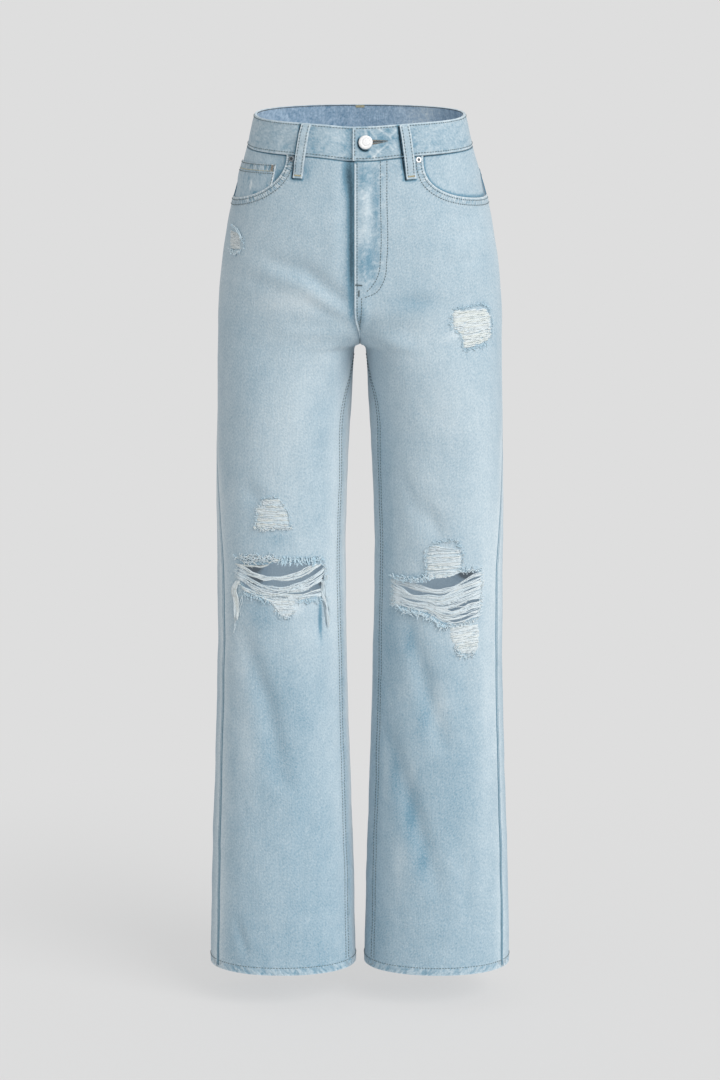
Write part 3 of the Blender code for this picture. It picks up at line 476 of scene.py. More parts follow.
PROUD_ENDS = (0.255, 0.272)   # levels between which the lapping front comes down to the other
SEAM_CENTRED = (0.262, 0.276)   # levels between which the centre seam comes back to the middle
MOUTHS = {                    # pocket mouths: reach from the side, depth, fall and fullness
    RIGHT: (0.067, 0.0435, 0.25, 2.3),
    LEFT: (0.079, 0.0495, 0.12, 2.8),
}
MOUTH_SIDE = 0.153            # distance of the side from the middle plane where the mouths end
MM = 0.001

# The torn hole over each knee, as (distance from the middle plane, level) in millimetres.
HOLES = {
    RIGHT: ((146, 539.5), (129, 540), (113.5, 538.9), (101.6, 536.1), (82, 536.5), (71.6, 538),
            (60, 539), (48, 541), (44, 545), (44, 560), (45, 576), (49, 579), (60, 580.5),
            (72, 581.5), (85, 583), (100, 583.5), (112, 580), (121, 577), (131, 573.5),
            (139, 569), (146, 562), (148.5, 550)),
    LEFT: ((45, 559), (54, 560.2), (65.8, 558.6), (82.7, 556.4), (93, 555.6), (104, 554.2),
           (114, 551.8), (122, 548.6), (131, 548.4), (141.5, 548.5), (144.5, 550), (146, 560),
           (145, 575), (144, 590), (143.5, 604), (136, 606), (127, 609.5), (115, 613.5),
           (105, 611.5), (97, 608.5), (90, 603), (82, 598), (70, 596), (58, 593.5), (47, 590),
           (43, 585), (42.5, 575), (43.5, 565)),
}


def ripples(points, waves):
    """Small waves of the cloth at points in space, the same on both sides of a seam."""
    height = np.zeros(len(points))
    for size, amount in waves:
        scaled = points / size + (3.7, 1.9, 5.3)
        height += amount * np.array([noise.noise(Vector(p)) for p in scaled])
    return height


def cloth_ripples(side, part, places):
    return ripples(on_cloth(side, part, places), FRONT_RIPPLE)


def ridge(apart, height):
    """The doubled cloth of a folded edge or felled seam stands proud of the rest."""
    return height * (1 - smoothstep(*RIDGE_EDGE, apart))


def smooth_line(spots, step):
    """Points at even distances on a smooth curve through spots."""
    spots = np.array(spots, float)
    run = run_of(spots)
    table = np.column_stack([run, spots])
    return smooth_rows(table, np.linspace(0, run[-1], max(3, round(run[-1] / step) + 1)))


def mesh_piece(name, points, faces, finishes, values=(), which=None):
    """A piece of the jeans from points and faces, with a value for each point where named."""
    mesh = bpy.data.meshes.new(name)
    mesh.from_pydata(np.asarray(points, float).tolist(), [], faces)
    for label, numbers in dict(values).items():
        numbers = np.asarray(numbers, float)
        kind, field = ("FLOAT_VECTOR", "vector") if numbers.ndim > 1 else ("FLOAT", "value")
        made = mesh.attributes.new(label, kind, "POINT")
        made.data.foreach_set(field, numbers.ravel())
    for finish in finishes:
        mesh.materials.append(finish)
    if which is not None:
        mesh.polygons.foreach_set("material_index", which)
    mesh.shade_smooth()
    mesh.set_sharp_from_angle(angle=SHARP_ANGLE)
    piece = bpy.data.objects.new(name, mesh)
    bpy.context.collection.objects.link(piece)
    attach(piece, "root")
    return piece


def cloth_wall(name, flat, face, place, wall, values, lines=(), sewn=(),
               inner_values=(), reverse=None):
    """A wall of denim over flat triangles, its outer face where `face` lifts it to.

    It takes the place of the node called `name`. It is topstitched along the lines, and `sewn` are
    the threads that go through it already. Its inner face has the same values for the finish as
    the outer one, apart from the inner values.
    """
    if lines:
        sewn = [stitches("topstitch_" + name, lines, face, place, thread_grey), *sewn]
    places, triangles = flat
    lifts = face(places)
    count = len(places)
    points = np.vstack([place(places, lifts), place(places, lifts - wall)])
    sides = {(int(t[i]), int(t[(i + 1) % 3])) for t in triangles for i in range(3)}
    rim = sorted((b, a, a + count, b + count) for a, b in sides if (b, a) not in sides)
    outer, inner = triangles, triangles[:, ::-1] + count
    around = np.array([(a, b, c) for a, b, c, d in rim] + [(a, c, d) for a, b, c, d in rim])
    faces = outer.tolist() + inner.tolist() + [list(q) for q in rim]
    a, b, c = points[np.vstack([outer, inner, around]).T]
    if (a * np.cross(b, c)).sum() < 0:            # the volume, so the faces point inwards
        faces = [f[::-1] for f in faces]
    which = np.array([0] * len(outer) + [1] * len(inner) + [0] * len(rim))
    inner_values = dict(values, **dict(inner_values))
    values = {label: np.concatenate([v, inner_values[label]]) for label, v in values.items()}
    finishes = [denim, reverse or denim_reverse]
    piece = mesh_piece("cloth_" + name, points, faces, finishes, values, which)
    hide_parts(name)
    size = np.ptp(places, axis=0)
    return piece


def cloth_placer(side, part):
    return lambda places, lifts: on_cloth(side, part, places, lifts)


def cloth_values(places, seams, cloth, deep_and_shade=0.0, fade_and_light=0.0):
    """What the finish needs to know at each place.

    `edge` is the distance to the nearest sewn edge, `run` the length along it, `rope` how strongly the
    cloth puckers there and `crease` how dark its very edge is, or how pale if less than 0. A seam is a
    line of places, the width that puckers, its strength, its crease and how close together its puckers
    are. `cloth` is the place on the grain. `deep_and_shade` is how much more of the blue is left there
    together with painted shade, and `fade_and_light` how much less together with painted light.
    """
    edge, run = np.full(len(places), 1.0), np.zeros(len(places))
    rope, crease = np.zeros(len(places)), np.zeros(len(places))
    for seam, width, strength, dark, *closeness in seams:
        apart, along = nearest(places, np.array(seam))
        closer = apart < edge
        edge[closer], crease[closer] = apart[closer], dark
        run[closer] = along[closer] * (closeness[0] if closeness else 1)
        rope = np.maximum(rope, strength * (1 - smoothstep(width * 0.85, width * 1.1, apart)))
    return {"edge": edge, "run": run, "rope": rope, "crease": crease, "cloth": cloth,
            "deep_and_shade": np.full(len(places), deep_and_shade, float), "fade_and_light": np.full(len(places), fade_and_light, float)}


def creases(places, wide, high, turn, seed):
    """Thin pale lines where cloth was creased in the wash, `turn` radians off the strip's run."""
    across = places[:, 0] * math.cos(turn) + places[:, 1] * math.sin(turn)
    down = places[:, 1] * math.cos(turn) - places[:, 0] * math.sin(turn)
    height = np.array([noise.noise(Vector((x / wide, y / high, seed))) for x, y in zip(across, down)])
    return np.clip(1 - np.abs(height) / 0.12, 0, 1)


def blob(places, side, part, spots):
    """Soft patches on the cloth: (x, level, half width, half height, strength) in millimetres."""
    total = np.zeros(len(places))
    for x, level, wide, high, strength in spots:
        (out, drop), = places_at(side, part, [(x * MM, level * MM)])
        away = ((places[:, 0] - out) / (wide * MM)) ** 2 + ((places[:, 1] - drop) / (high * MM)) ** 2
        total += strength * np.exp(-away)
    return total


def lower_blue(places):
    """The legs are darker and bluer below the knees."""
    return LOWER_BLUE * smoothstep(*LOWER_BLUE_FROM, level_at(places[:, 1])[0])


def own_grain(places, apart):
    """The grain of a strip that is cut and folded by itself."""
    return np.column_stack([places, np.full(len(places), apart)])


def crotch_shade(places, near, far):
    """Painted shadow in the fold at the crotch, out to where it has ended between `near` and `far`."""
    level = level_at(places[:, 1])[0]
    fork = smoothstep(*CROTCH_SHADE_FROM, level) * (1 - smoothstep(*CROTCH_SHADE_TO, level))
    return CROTCH_SHADE * fork * (1 - smoothstep(near, far, places[:, 0]))


def painted_side_light(side, part, places):
    """Painted light: the legs are paler towards the outseams, where their sides turn away from the
    camera.
    """
    apart = width_at(side, part, places[:, 1]) - places[:, 0]
    start = smoothstep(*SIDE_LIGHT_FROM, level_at(places[:, 1])[0])
    return SIDE_LIGHT[side] * np.exp(-(apart / SIDE_LIGHT_WIDE) ** 2) * start


def outseam(side, part):
    """The outer edge of a panel, as a function of the drop."""
    return lambda drop: float(width_at(side, part, drop)) - SEAM / 2


def leg_edges(outer, inner, start, top):
    """The outseam of a leg panel from `start`, its hem and inseam, and its rise up to `top`."""
    hem = DROP_END
    return (down_edge(outer, start, hem), line((outer(hem), hem), (inner(hem), hem), FINE),
            down_edge(inner, hem, CROTCH_DROP), down_edge(inner, CROTCH_DROP, top))


def hem_line(outer):
    """The row of stitches that holds the folded hem."""
    return [(out, DROP_END - HEM_FOLD) for out in np.linspace(0.001, outer(DROP_END) - 0.001, 60)]


def centre_edge(side, drop):
    """How far out the centre seam is on a front piece, at a drop."""
    level = float(level_at(np.array(drop))[0])
    shift = CENTRE_FRONT * (1 - smoothstep(*SEAM_CENTRED, level))
    if side == LEFT:
        return shift + SEAM / 2
    lap = FLY_LAP * (1 - smoothstep(*LAP_ENDS, level))
    return -shift + SEAM / 2 - lap


def fly_lift(places):
    """The left front stands proud where it laps over the right one."""
    level = level_at(places[:, 1])[0]
    near = 1 - smoothstep(*FLY_FOLD, places[:, 0])
    return FLY_PROUD * near * (1 - smoothstep(*PROUD_ENDS, level))


def mouth(side, size=1.0, step=0.003):
    """Places along a front pocket's mouth, from the waistband seam to the outseam."""
    reach, depth, fall, fullness = MOUTHS[side]
    spots = []
    for angle in np.radians(np.linspace(0, 90, 61)):
        over = reach * math.cos(angle) ** (2 / fullness)
        down = depth * math.sin(angle) ** (2 / fullness) + fall * (reach - over)
        spots.append((MOUTH_SIDE - size * over, BAND_HEIGHT + SEAM + size * down))
    places = places_at(side, FRONT, spots)
    places[-1] = (outseam(side, FRONT)(places[-1][1]), places[-1][1])
    return evenly(places, step)


def torn_outline(side, spots, chance):
    """A torn edge through spots in millimetres, ragged as loose threads leave it."""
    loop = evenly(np.array(spots + spots[:1]) * MM, 0.0018)[:-1]
    loop += chance.uniform(-1, 1, loop.shape) * (0.0003, 0.0007)
    return places_at(side, FRONT, loop)


DENIM_RUBBED_AND_LIT = "#E6EFF3"      # rubbed bare on raised edges, and the tone of painted light on sides that lie in shade
DENIM_PALE = "#C9D8E0"        # washed down to the white weft
DENIM_DEEP = "#779DB2"        # where more of the blue warp is left; light painted shade takes this tone too
DENIM_SEAM_SHADE = "#5D7D8E"        # the unwashed hollows along the seams, also the tone of painted shade beside raised parts
DENIM_SHADOW = "#16303F"         # the deepest painted shadow: beside and under the loops, inside the crotch, by the fly and in the knee holes
DENIM_REVERSE_PALE, DENIM_REVERSE_DEEP = "#D8DFE3", "#B1BFC9"
TWILL_SLANT = math.radians(-35)   # the twill's fine ribs run down and out
WASH = 0.34                   # how blue the cloth is between pale (0) and deep (1)
PUCKER_LONG, PUCKER_WIDE = 6.0, 9.0   # along and off the seam, in mm
PUCKER_RANGE = {1: 0.38, 2: 0.62, 3: -1.0, 4: 1.0}   # the noise that is taken for -1 to 1
PUCKER_DEEPENS = 0.30
RELIEF_GRAIN, RELIEF_PUCKER = 1.2, -0.6   # shares in the relief, the streaks' being 1
CREASED_EDGE = {1: 0.0008, 2: 0.0021, 3: 1.0, 4: 0.0}   # distances from 1 down to 0
SHADOW_RANGE = {1: 1.6, 2: 3.0}


def washed_denim(name, pale, deep_and_shade, hollow, contrast=1.0, painted_glow=0.0, grain="cloth"):
    """Stone-washed cotton denim, a matt twill whose blue warp is worn down in fine streaks.

    The eye gets a fine grain, faint upright streaks and clouds, pale edges, and blue hollows by the seams
    that also serve as painted shade. The ribs of the twill are too fine to show, so the grain is drawn at
    1.7 by 2.8 mm. `painted_glow` is an emission of the deep colour, a painted glow that keeps the inside
    of a leg from going black.
    """
    made, tree, shader = new_material(name)
    cloth = add(tree, "Attribute", out="Vector", attribute_name=grain)
    slanted = add(tree, "VectorRotate", {"Vector": cloth, "Angle": TWILL_SLANT},
                  rotation_type="Z_AXIS")
    edge, run, rope, crease, dark, fade_and_light = [
        add(tree, "Attribute", out="Fac", attribute_name=label)
        for label in ("edge", "run", "rope", "crease", "deep_and_shade", "fade_and_light")]
    # size across and along the warp in mm, octaves, how much it deepens the colour
    patterns = {
        "streaks": (1.8, 22, 2, 0.12),
        "slubs": (5.0, 80, 2, 0.12),
        "grain": (1.7, 2.8, 3, 1.30),
        "clouds": (14, 20, 3, 0.34),
        "drifts": (70, 110, 2, 0.42),
    }
    total = add(tree, "Math", {0: dark, 1: fade_and_light}, operation="SUBTRACT")
    total = add(tree, "Math", {0: total, 1: WASH}, operation="ADD")
    found = {}
    for label, (wide, high, octaves, amount) in patterns.items():
        scaled = add(tree, "VectorMath", {0: slanted if label == "grain" else cloth,
                     1: (1000 / wide, 1000 / high, 37)}, operation="MULTIPLY")
        found[label] = add(tree, "TexNoise", {"Vector": scaled, "Scale": 1.0, "Detail": octaves,
                           "Roughness": 0.6})
        shifted = add(tree, "Math", {0: found[label], 1: 0.5}, operation="SUBTRACT")
        total = add(tree, "Math", {0: shifted, 1: amount * contrast, 2: total},
                    operation="MULTIPLY_ADD")
    # slanting puckers along the seams
    along = add(tree, "Math", {0: run, 1: 1000 / PUCKER_LONG}, operation="MULTIPLY")
    off = add(tree, "Math", {0: edge, 1: 1000 / PUCKER_WIDE}, operation="MULTIPLY")
    slant = add(tree, "Math", {0: off, 1: along}, operation="ADD")
    pucker = add(tree, "CombineXYZ", {0: slant, 1: off})
    pucker = add(tree, "TexNoise", {"Vector": pucker, "Scale": 1.0, "Detail": 1.0,
                 "Roughness": 0.5})
    pucker = add(tree, "MapRange", {0: pucker, **PUCKER_RANGE})
    pucker = add(tree, "Math", {0: pucker, 1: rope}, operation="MULTIPLY")
    total = add(tree, "Math", {0: pucker, 1: PUCKER_DEEPENS, 2: total}, operation="MULTIPLY_ADD")
    # the very edge is darkened, for seam lines and painted shade under an overlapping edge, or rubbed
    # pale
    edging = add(tree, "MapRange", {0: edge, **CREASED_EDGE})
    total = add(tree, "Math", {0: edging, 1: crease, 2: total}, operation="MULTIPLY_ADD")
    # the tone runs on from deep to the seam hollows and to the deepest painted shadow, or from pale to
    # rubbed bare and painted light
    hollows = add(tree, "Math", {0: total, 1: 1.0}, operation="SUBTRACT")
    deepest_shadow = add(tree, "MapRange", {0: total, **SHADOW_RANGE})
    bare_and_lit = add(tree, "Math", {0: total, 1: -1.6}, operation="MULTIPLY")
    colour = linear(pale)
    for share, tone in ((total, deep_and_shade), (hollows, hollow), (deepest_shadow, DENIM_SHADOW), (bare_and_lit, DENIM_RUBBED_AND_LIT)):
        colour = add(tree, "Mix", {0: share, 6: colour, 7: linear(tone)}, data_type="RGBA")
    relief = add(tree, "Math", {0: found["grain"], 1: RELIEF_GRAIN, 2: found["streaks"]},
                 operation="MULTIPLY_ADD")
    relief = add(tree, "Math", {0: pucker, 1: RELIEF_PUCKER, 2: relief}, operation="MULTIPLY_ADD")
    bump = add(tree, "Bump", {"Height": relief, "Strength": 0.55, "Distance": 0.0009})
    feed(shader, {"Base Color": colour, "Normal": bump, "Roughness": 0.92,
                  "Specular IOR Level": 0.2, "Sheen Weight": 0.30, "Sheen Roughness": 0.45,
                  "Emission Color": linear(deep_and_shade), "Emission Strength": painted_glow})
    return made


denim = washed_denim("stone_washed_denim", DENIM_PALE, DENIM_DEEP, DENIM_SEAM_SHADE)
# the reverse has a painted glow that keeps the inside of the legs from going black
denim_reverse = washed_denim("denim_reverse", DENIM_REVERSE_PALE, DENIM_REVERSE_DEEP,
                             DENIM_REVERSE_DEEP, 0.7, 0.20)

STITCH_LONG, STITCH_PITCH = 0.0029, 0.0036
STITCH_RINGS = ((0.0, -0.00020, 0.00014), (0.28, 0.00026, 0.00043), (0.72, 0.00026, 0.00043),
                (1.0, -0.00020, 0.00014))     # share of the length, height, radius
THREAD_GREY, THREAD_TAN, THREAD_DARK = "#6E7D82", "#D2C9A8", "#4A4745"


def sewing_thread(name, colour):
    """Cotton-wrapped sewing thread, matt and twisted, so each stitch has fine slanting marks."""
    made, tree, shader = new_material(name)
    spot = add(tree, "TexCoord", out="Object")
    fuzz = add(tree, "TexNoise", {"Vector": spot, "Scale": 700.0, "Detail": 2.0})
    light = linear(colour)
    dark = tuple(0.62 * v for v in light[:3]) + (1.0,)
    mixed = add(tree, "Mix", {0: fuzz, 6: dark, 7: light}, data_type="RGBA")
    bump = add(tree, "Bump", {"Height": fuzz, "Strength": 0.4, "Distance": 0.0002})
    feed(shader, {"Base Color": mixed, "Normal": bump, "Roughness": 0.8})
    return made


thread_grey = sewing_thread("cotton_thread_grey", THREAD_GREY)
thread_tan = sewing_thread("cotton_thread_tan", THREAD_TAN)
thread_dark = sewing_thread("cotton_thread_dark", THREAD_DARK)
thread_beige = sewing_thread("cotton_thread_beige", "#A49A8E")


def spun(name, points, normals, radii, finish, values=(), sides=5):
    """Threads as thin tubes: (thread, point, xyz) with the cloth's normals and each ring's radius."""
    way = np.gradient(points, axis=1)
    way /= np.maximum(np.linalg.norm(way, axis=2, keepdims=True), 1e-9)
    over = np.cross(way, normals)
    over /= np.maximum(np.linalg.norm(over, axis=2, keepdims=True), 1e-9)
    up = np.cross(over, way)
    turn = np.arange(sides) * 2 * math.pi / sides
    ring = over[:, :, None] * np.cos(turn)[:, None] + up[:, :, None] * np.sin(turn)[:, None]
    ring = points[:, :, None] + ring * radii[:, :, None, None]
    threads, count = points.shape[:2]
    first = (np.arange(threads) * count * sides)[:, None, None]
    k = (np.arange(count - 1) * sides)[None, :, None]
    s = np.arange(sides)[None, None, :]
    n = (s + 1) % sides
    quads = np.stack([first + k + s, first + k + n, first + k + sides + n, first + k + sides + s], -1)
    caps = [first[:, 0] + np.arange(sides)[None, ::-1],
            first[:, 0] + (count - 1) * sides + np.arange(sides)[None]]
    faces = quads.reshape(-1, 4).tolist() + caps[0].tolist() + caps[1].tolist()
    points = ring.reshape(-1, 3)
    values = {label: np.repeat(v, count * sides) for label, v in dict(values).items()}
    return mesh_piece(name, points, faces, [finish], values)


def sewn_rings(name, flat, lifts, place, radii, finish):
    """Threads of equal rings on a face: their places, heights off it and radii, ring by ring."""
    points = place(flat, lifts)
    normals = unit(place(flat, lifts + MM) - points)
    shape = (*radii.shape, 3)
    return spun(name, points.reshape(shape), normals.reshape(shape), radii, finish)


def stitches(name, lines, face, place, finish, pitch=STITCH_PITCH, wide=1.0):
    """Topstitching along lines of places, on the face that `face` lifts."""
    starts, ends = [], []
    for seam in lines:
        seam = np.array(seam)
        run = run_of(seam)
        at = np.arange(0, run[-1] - STITCH_LONG * pitch / STITCH_PITCH, pitch)
        for stops, into in ((at, starts), (at + STITCH_LONG * pitch / STITCH_PITCH, ends)):
            into.append(np.stack([np.interp(stops, run, seam[:, i]) for i in (0, 1)], 1))
    starts, ends = np.vstack(starts), np.vstack(ends)
    share = np.array([ring[0] for ring in STITCH_RINGS])[None, :, None]
    rings = starts[:, None] * (1 - share) + ends[:, None] * share
    flat = rings.reshape(-1, 2)
    lifts = face(flat) + np.tile([ring[1] for ring in STITCH_RINGS], len(starts))
    radii = np.tile([ring[2] * wide for ring in STITCH_RINGS], (len(starts), 1))
    return sewn_rings(name, flat, lifts, place, radii, finish)


def side_name(side):
    return "left" if side == LEFT else "right"


# Where the wash left more or less of the blue: (x, level, half width, half height, strength). The deep
# ones also hold painted shade (the fly's shadow, folds, the crease below the right knee, by the loops and
# under loose threads) and the faded ones painted light on the sides of the legs.
FRONT_DEEP_AND_SHADE = {
    RIGHT: ((10.6, 75, 4.0, 60, 1.8), (16.0, 54, 4.5, 22, 1.2), (10.2, 170, 3.4, 58, 1.5),
            (10, 180, 12, 60, 0.45), (75, 50, 30, 10, 0.20), (130, 700, 20, 150, 0.12),
            (48.7, 608, 2.2, 22, 1.2), (105, 508, 16, 14, 0.18), (115, 600, 34, 20, 0.18),
            (64, 58, 5, 8, 0.4), (85, 790, 22, 40, 0.10), (70, 535, 24, 4.5, 0.3),
            (122, 534, 22, 4, 0.3)),
    LEFT: ((4, 58, 8, 13, 0.55), (19, 98, 4, 42, 0.40), (8, 168, 14, 24, 0.50),
           (0, 238, 6, 22, 0.40),
           (60, 50, 26, 9, 0.15), (24, 400, 10, 160, 0.20),
           (26, 700, 12, 240, 0.06), (65, 222, 28, 16, 0.26), (50, 304, 20, 25, 0.12),
           (62, 857, 9, 34, 0.46), (46, 857, 7, 24, 0.15), (77, 915, 9, 22, 0.42),
           (43, 806, 7, 26, 0.32), (36, 756, 6, 24, 0.18), (78, 728, 9, 34, 0.22),
           (62, 632, 9, 26, 0.42), (40, 632, 14, 40, 0.20), (36, 500, 8, 120, 0.14),
           (62, 556, 22, 4.5, 0.3), (70, 599, 26, 5, 0.3)),
}
LOOP_SHADE = {                # x and level of the painted shadow beside and below each front loop
    RIGHT: (((69.3, 1), (79.9, 65)), ((78.6, 66.3), (68.5, 66.3))),
    LEFT: (((44.6, 1), (53.3, 65)), ((54.4, 66.3), (64.5, 66.3))),
}
FRONT_FADE_AND_LIGHT = {
    RIGHT: ((90, 350, 34, 130, 0.16), (32, 560, 14, 320, 0.40), (88, 222, 40, 18, 0.25),
            (105, 477, 15, 14, 0.9), (88, 590, 14, 11, 0.8), (60, 219, 18, 13, 0.20),
            (134, 790, 14, 40, 0.14), (150, 148, 7, 9, 0.8),
            (145, 640, 18, 60, 0.28), (62, 640, 22, 50, 0.22), (140, 740, 18, 60, 0.28),
            (45, 740, 18, 60, 0.12), (140, 857, 25, 60, 0.10)),
    LEFT: ((90, 350, 38, 130, 0.16), (150, 480, 22, 200, 0.16), (135, 650, 30, 60, 0.15),
           (8.5, 95, 5.0, 34, 0.42), (98, 712, 10, 26, 0.32),
           (102, 535, 15, 14, 0.9), (128, 630, 13, 14, 0.9), (133, 252, 17, 16, 0.9),
           (31, 806, 6, 50, 0.22), (64, 800, 7, 24, 0.22), (48, 912, 9, 28, 0.26),
           (157, 760, 14, 190, 0.25)),
}
FLY_MOTTLED = (-0.004, 0.030, 0.045, 0.212)    # where the fly's wash is blotchy
HOLE_CURL, HOLE_CURL_WIDE = 0.0007, 0.006      # how the cloth curls up at the edge of a hole
# painted shade round a knee hole under its loose threads: strength, and where it fades
HOLE_SHADE, HOLE_SHADE_WIDE = 0.2, (0.001, 0.005)
LOOP_SHADE_DEEP, LOOP_SHADE_WIDE = (2.9, 1.6), 0.0014
MOUTH_PUCKER, RISE_CREASE = {RIGHT: 1.9, LEFT: 1.1}, {RIGHT: 0.8, LEFT: -0.6}
MOTTLE_DEEP, MOTTLE_FADE = 0.16, 0.35
J_STITCH = (((31.5, 39), (31.6, 83.5), (31.7, 164), (28.2, 193), (18.8, 208), (4.4, 214)),
            ((24.0, 39), (24.0, 82), (24.1, 164), (22.3, 183), (15.2, 198.6), (6.1, 208.2)))
MOUTH_STITCH = (0.0032, 0.0090)
SEAM_STITCH = (0.0022, 0.0080)
FLY_STITCH, STRIP_STITCH = 0.0030, 0.0020      # in from the fly's edge; from the middle plane
for side in (RIGHT, LEFT):
    chance = np.random.default_rng(11 + side)
    top = BAND_HEIGHT + SEAM
    scoop = mouth(side)
    outer = outseam(side, FRONT)
    inner = lambda drop: centre_edge(side, drop) if drop < CROTCH_DROP else SEAM / 2
    band_edge = line((inner(top), top), tuple(scoop[0]), FINE)
    side_edge, hem_edge, inseam, rise = leg_edges(outer, inner, scoop[-1][1], top)
    outline = band_edge + [tuple(p) for p in scoop[:-1]] + side_edge + hem_edge + inseam + rise
    hole = torn_outline(side, HOLES[side], chance)
    dark_line = np.array([(out - np.interp(level_at(np.array(drop))[0], *zip(*SEAM_RIDGE)), drop)
                          for out, drop in side_edge])
    extra = [beside(scoop, distance) for distance in (0.003, 0.006, 0.009)]
    extra += [dark_line + (apart * MM, 0) for apart in (-2.4, -1.2, 0, 1.2)]
    shaded = [places_at(side, FRONT, smooth_line(np.array(spots) * MM, 0.0015))
              for spots in LOOP_SHADE[side]]
    extra += [shaded[0][shaded[0][:, 1] > top + 0.001] + (apart * MM, 0)
              for apart in (-1.5, 0, 1.5, 3)]
    extra += [shaded[1] + (0, apart * MM) for apart in (-1, 0, 1, 2)]
    # extra rows for the painted shade of the crease below the right knee and the fly's shadow
    if side == RIGHT:
        for xs, levels in (((45.7, 47.2, 48.7, 50.2, 51.7), np.arange(585, 640, 1.8)),
                           ((7, 9, 11, 13, 15, 17.5, 20), np.arange(40, 250, 2.5))):
            extra += [places_at(side, FRONT, [(x * MM, level * MM) for level in levels]) for x in xs]
    flat = cut_flat(outline, holes=[hole], extra=extra)
    places = flat[0]
    # the dark crease along the band's edge is painted shadow under the waistband's lower edge
    seams = [(scoop, 0.0095, MOUTH_PUCKER[side], -0.6, 4.4), (hem_edge, HEM_FOLD, 0.8, -0.2),
             (inseam, 0.008, 0.3, 0.0), (side_edge, 0.006, 0.0, 1.6), (band_edge, 0.004, 0.3, 1.6),
             (rise, 0.006, 0.2, RISE_CREASE[side])]
    torn = np.vstack([hole, hole[:1]])

    def front_face(places, side=side, seams=seams, torn=torn):
        """The outer face: small waves, folded edges, the fly and the curled edge of the hole."""
        lift = cloth_ripples(side, FRONT, places)
        lift += ridge(nearest(places, np.array(seams[0][0]))[0], 0.0006)
        lift += ridge(DROP_END - places[:, 1], 0.0006)
        lift += HOLE_CURL * (1 - smoothstep(0.0, HOLE_CURL_WIDE, nearest(places, torn)[0]))
        if side == LEFT:
            lift += fly_lift(places)
        return lift

    values = cloth_values(places, seams, grain_at(side, FRONT, places),
                          blob(places, side, FRONT, FRONT_DEEP_AND_SHADE[side]) + lower_blue(places),
                          blob(places, side, FRONT, FRONT_FADE_AND_LIGHT[side]) + painted_side_light(side, FRONT, places))
    by_side = nearest(places, np.array(side_edge))[0] < 0.008
    values["edge"] = np.where(by_side, nearest(places, dark_line)[0], values["edge"])
    # painted shade round the hole, under its loose threads
    values["deep_and_shade"] += HOLE_SHADE * (1 - smoothstep(*HOLE_SHADE_WIDE, nearest(places, torn)[0]))
    # painted shadow beside and below the front loops
    for spots, amount in zip(shaded, LOOP_SHADE_DEEP):
        values["deep_and_shade"] += amount * np.exp(-(nearest(places, spots)[0] / LOOP_SHADE_WIDE) ** 2)
    values["deep_and_shade"] += crotch_shade(places, 0.0015, 0.0050)
    if side == LEFT:
        near, far, high, low = FLY_MOTTLED
        out, level = places[:, 0], level_at(places[:, 1])[0]
        here = smoothstep(near, near + 0.004, out) * (1 - smoothstep(far - 0.004, far, out))
        here *= smoothstep(high - 0.01, high, level) * (1 - smoothstep(low - 0.02, low, level))
        values["deep_and_shade"] += MOTTLE_DEEP * here
        values["fade_and_light"] += here * (MOTTLE_FADE * creases(places, 0.007, 0.030, 0.1, 4.4)
                                  + MOTTLE_FADE * creases(places, 0.010, 0.014, -0.6, 7.1))
    lines = [beside(scoop, distance) for distance in MOUTH_STITCH] + [hem_line(outer)]
    legs = np.arange(CROTCH_DROP + 0.012, DROP_END - 0.002, 0.01)
    lines += [[(distance, drop) for drop in legs] for distance in SEAM_STITCH]
    if side == LEFT:
        lines += [places_at(LEFT, FRONT, smooth_line(np.array(spots) * MM, 0.004))
                  for spots in J_STITCH]
        down = np.linspace(top + 0.002, float(drop_at(SEAM_CENTRED[0])), 90)
        lines.append([(centre_edge(LEFT, d) + FLY_STITCH, d) for d in down])
        down = np.linspace(float(drop_at(0.214)), float(drop_at(SEAM_CENTRED[1])), 30)
        lines.append([(STRIP_STITCH, d) for d in down])
    cloth_wall("front_" + side_name(side), flat, front_face, cloth_placer(side, FRONT), DENIM,
               values, lines)
    if side == LEFT:
        left_front_face = front_face


# ---------------------------------------------------------------------------------------------
# Back leg panels, yokes and back pockets. The same denim, joined by felled seams with two rows of
# topstitching. The yokes shape the seat, and a five-cornered patch pocket is sewn on each side.
# ---------------------------------------------------------------------------------------------
YOKE_SIDE, YOKE_CENTRE = 0.066, 0.106   # levels of the yoke seam at its two ends
POCKET_MIDDLE = 0.079
POCKET_TOP, POCKET_CORNER, POCKET_POINT = 0.126, 0.232, 0.262
POCKET_HALF_TOP, POCKET_HALF_LOW = 0.066, 0.056
POCKET_HEM = 0.014            # width of the pocket's folded top
POCKET_STITCH = (0.0025, 0.0085)
POCKET_BELLY, POCKET_BELLY_WIDE = 0.0022, (0.004, 0.045)
BACK_STEP = 0.0042
BACK_RISE_ENDS = (CROTCH_DROP - 0.02, CROTCH_DROP)   # drops where the centre seam flattens
POCKET_FADE = ((80, 190, 40, 45, 0.28),)
BACK_FADE = ((85, 190, 60, 60, 0.30), (95, 560, 40, 120, 0.15))
BACK_DEEP = ((40, 330, 30, 30, 0.25), (85, 285, 70, 16, 0.25), (165, 700, 14, 300, 0.10),
             (110, 1040, 90, 22, 0.12))
INSIDE_SHADE = {              # painted shade deep inside each knee hole, on the back panel's inner face seen through its ends
    RIGHT: ((136, 568, 15, 8, 4.6), (134, 585, 14, 7, 4.0), (48, 582, 8, 14, 3.4)),
    LEFT: ((135, 576, 13, 8, 4.6), (113, 612, 34, 14, 1.5)),
}
# painted light on the inner sides of the legs, which lie in shade between them
INSEAM_LIGHT = {RIGHT: (14, 640, 14, 420, 1.2), LEFT: (10, 640, 10, 420, 0.6)}


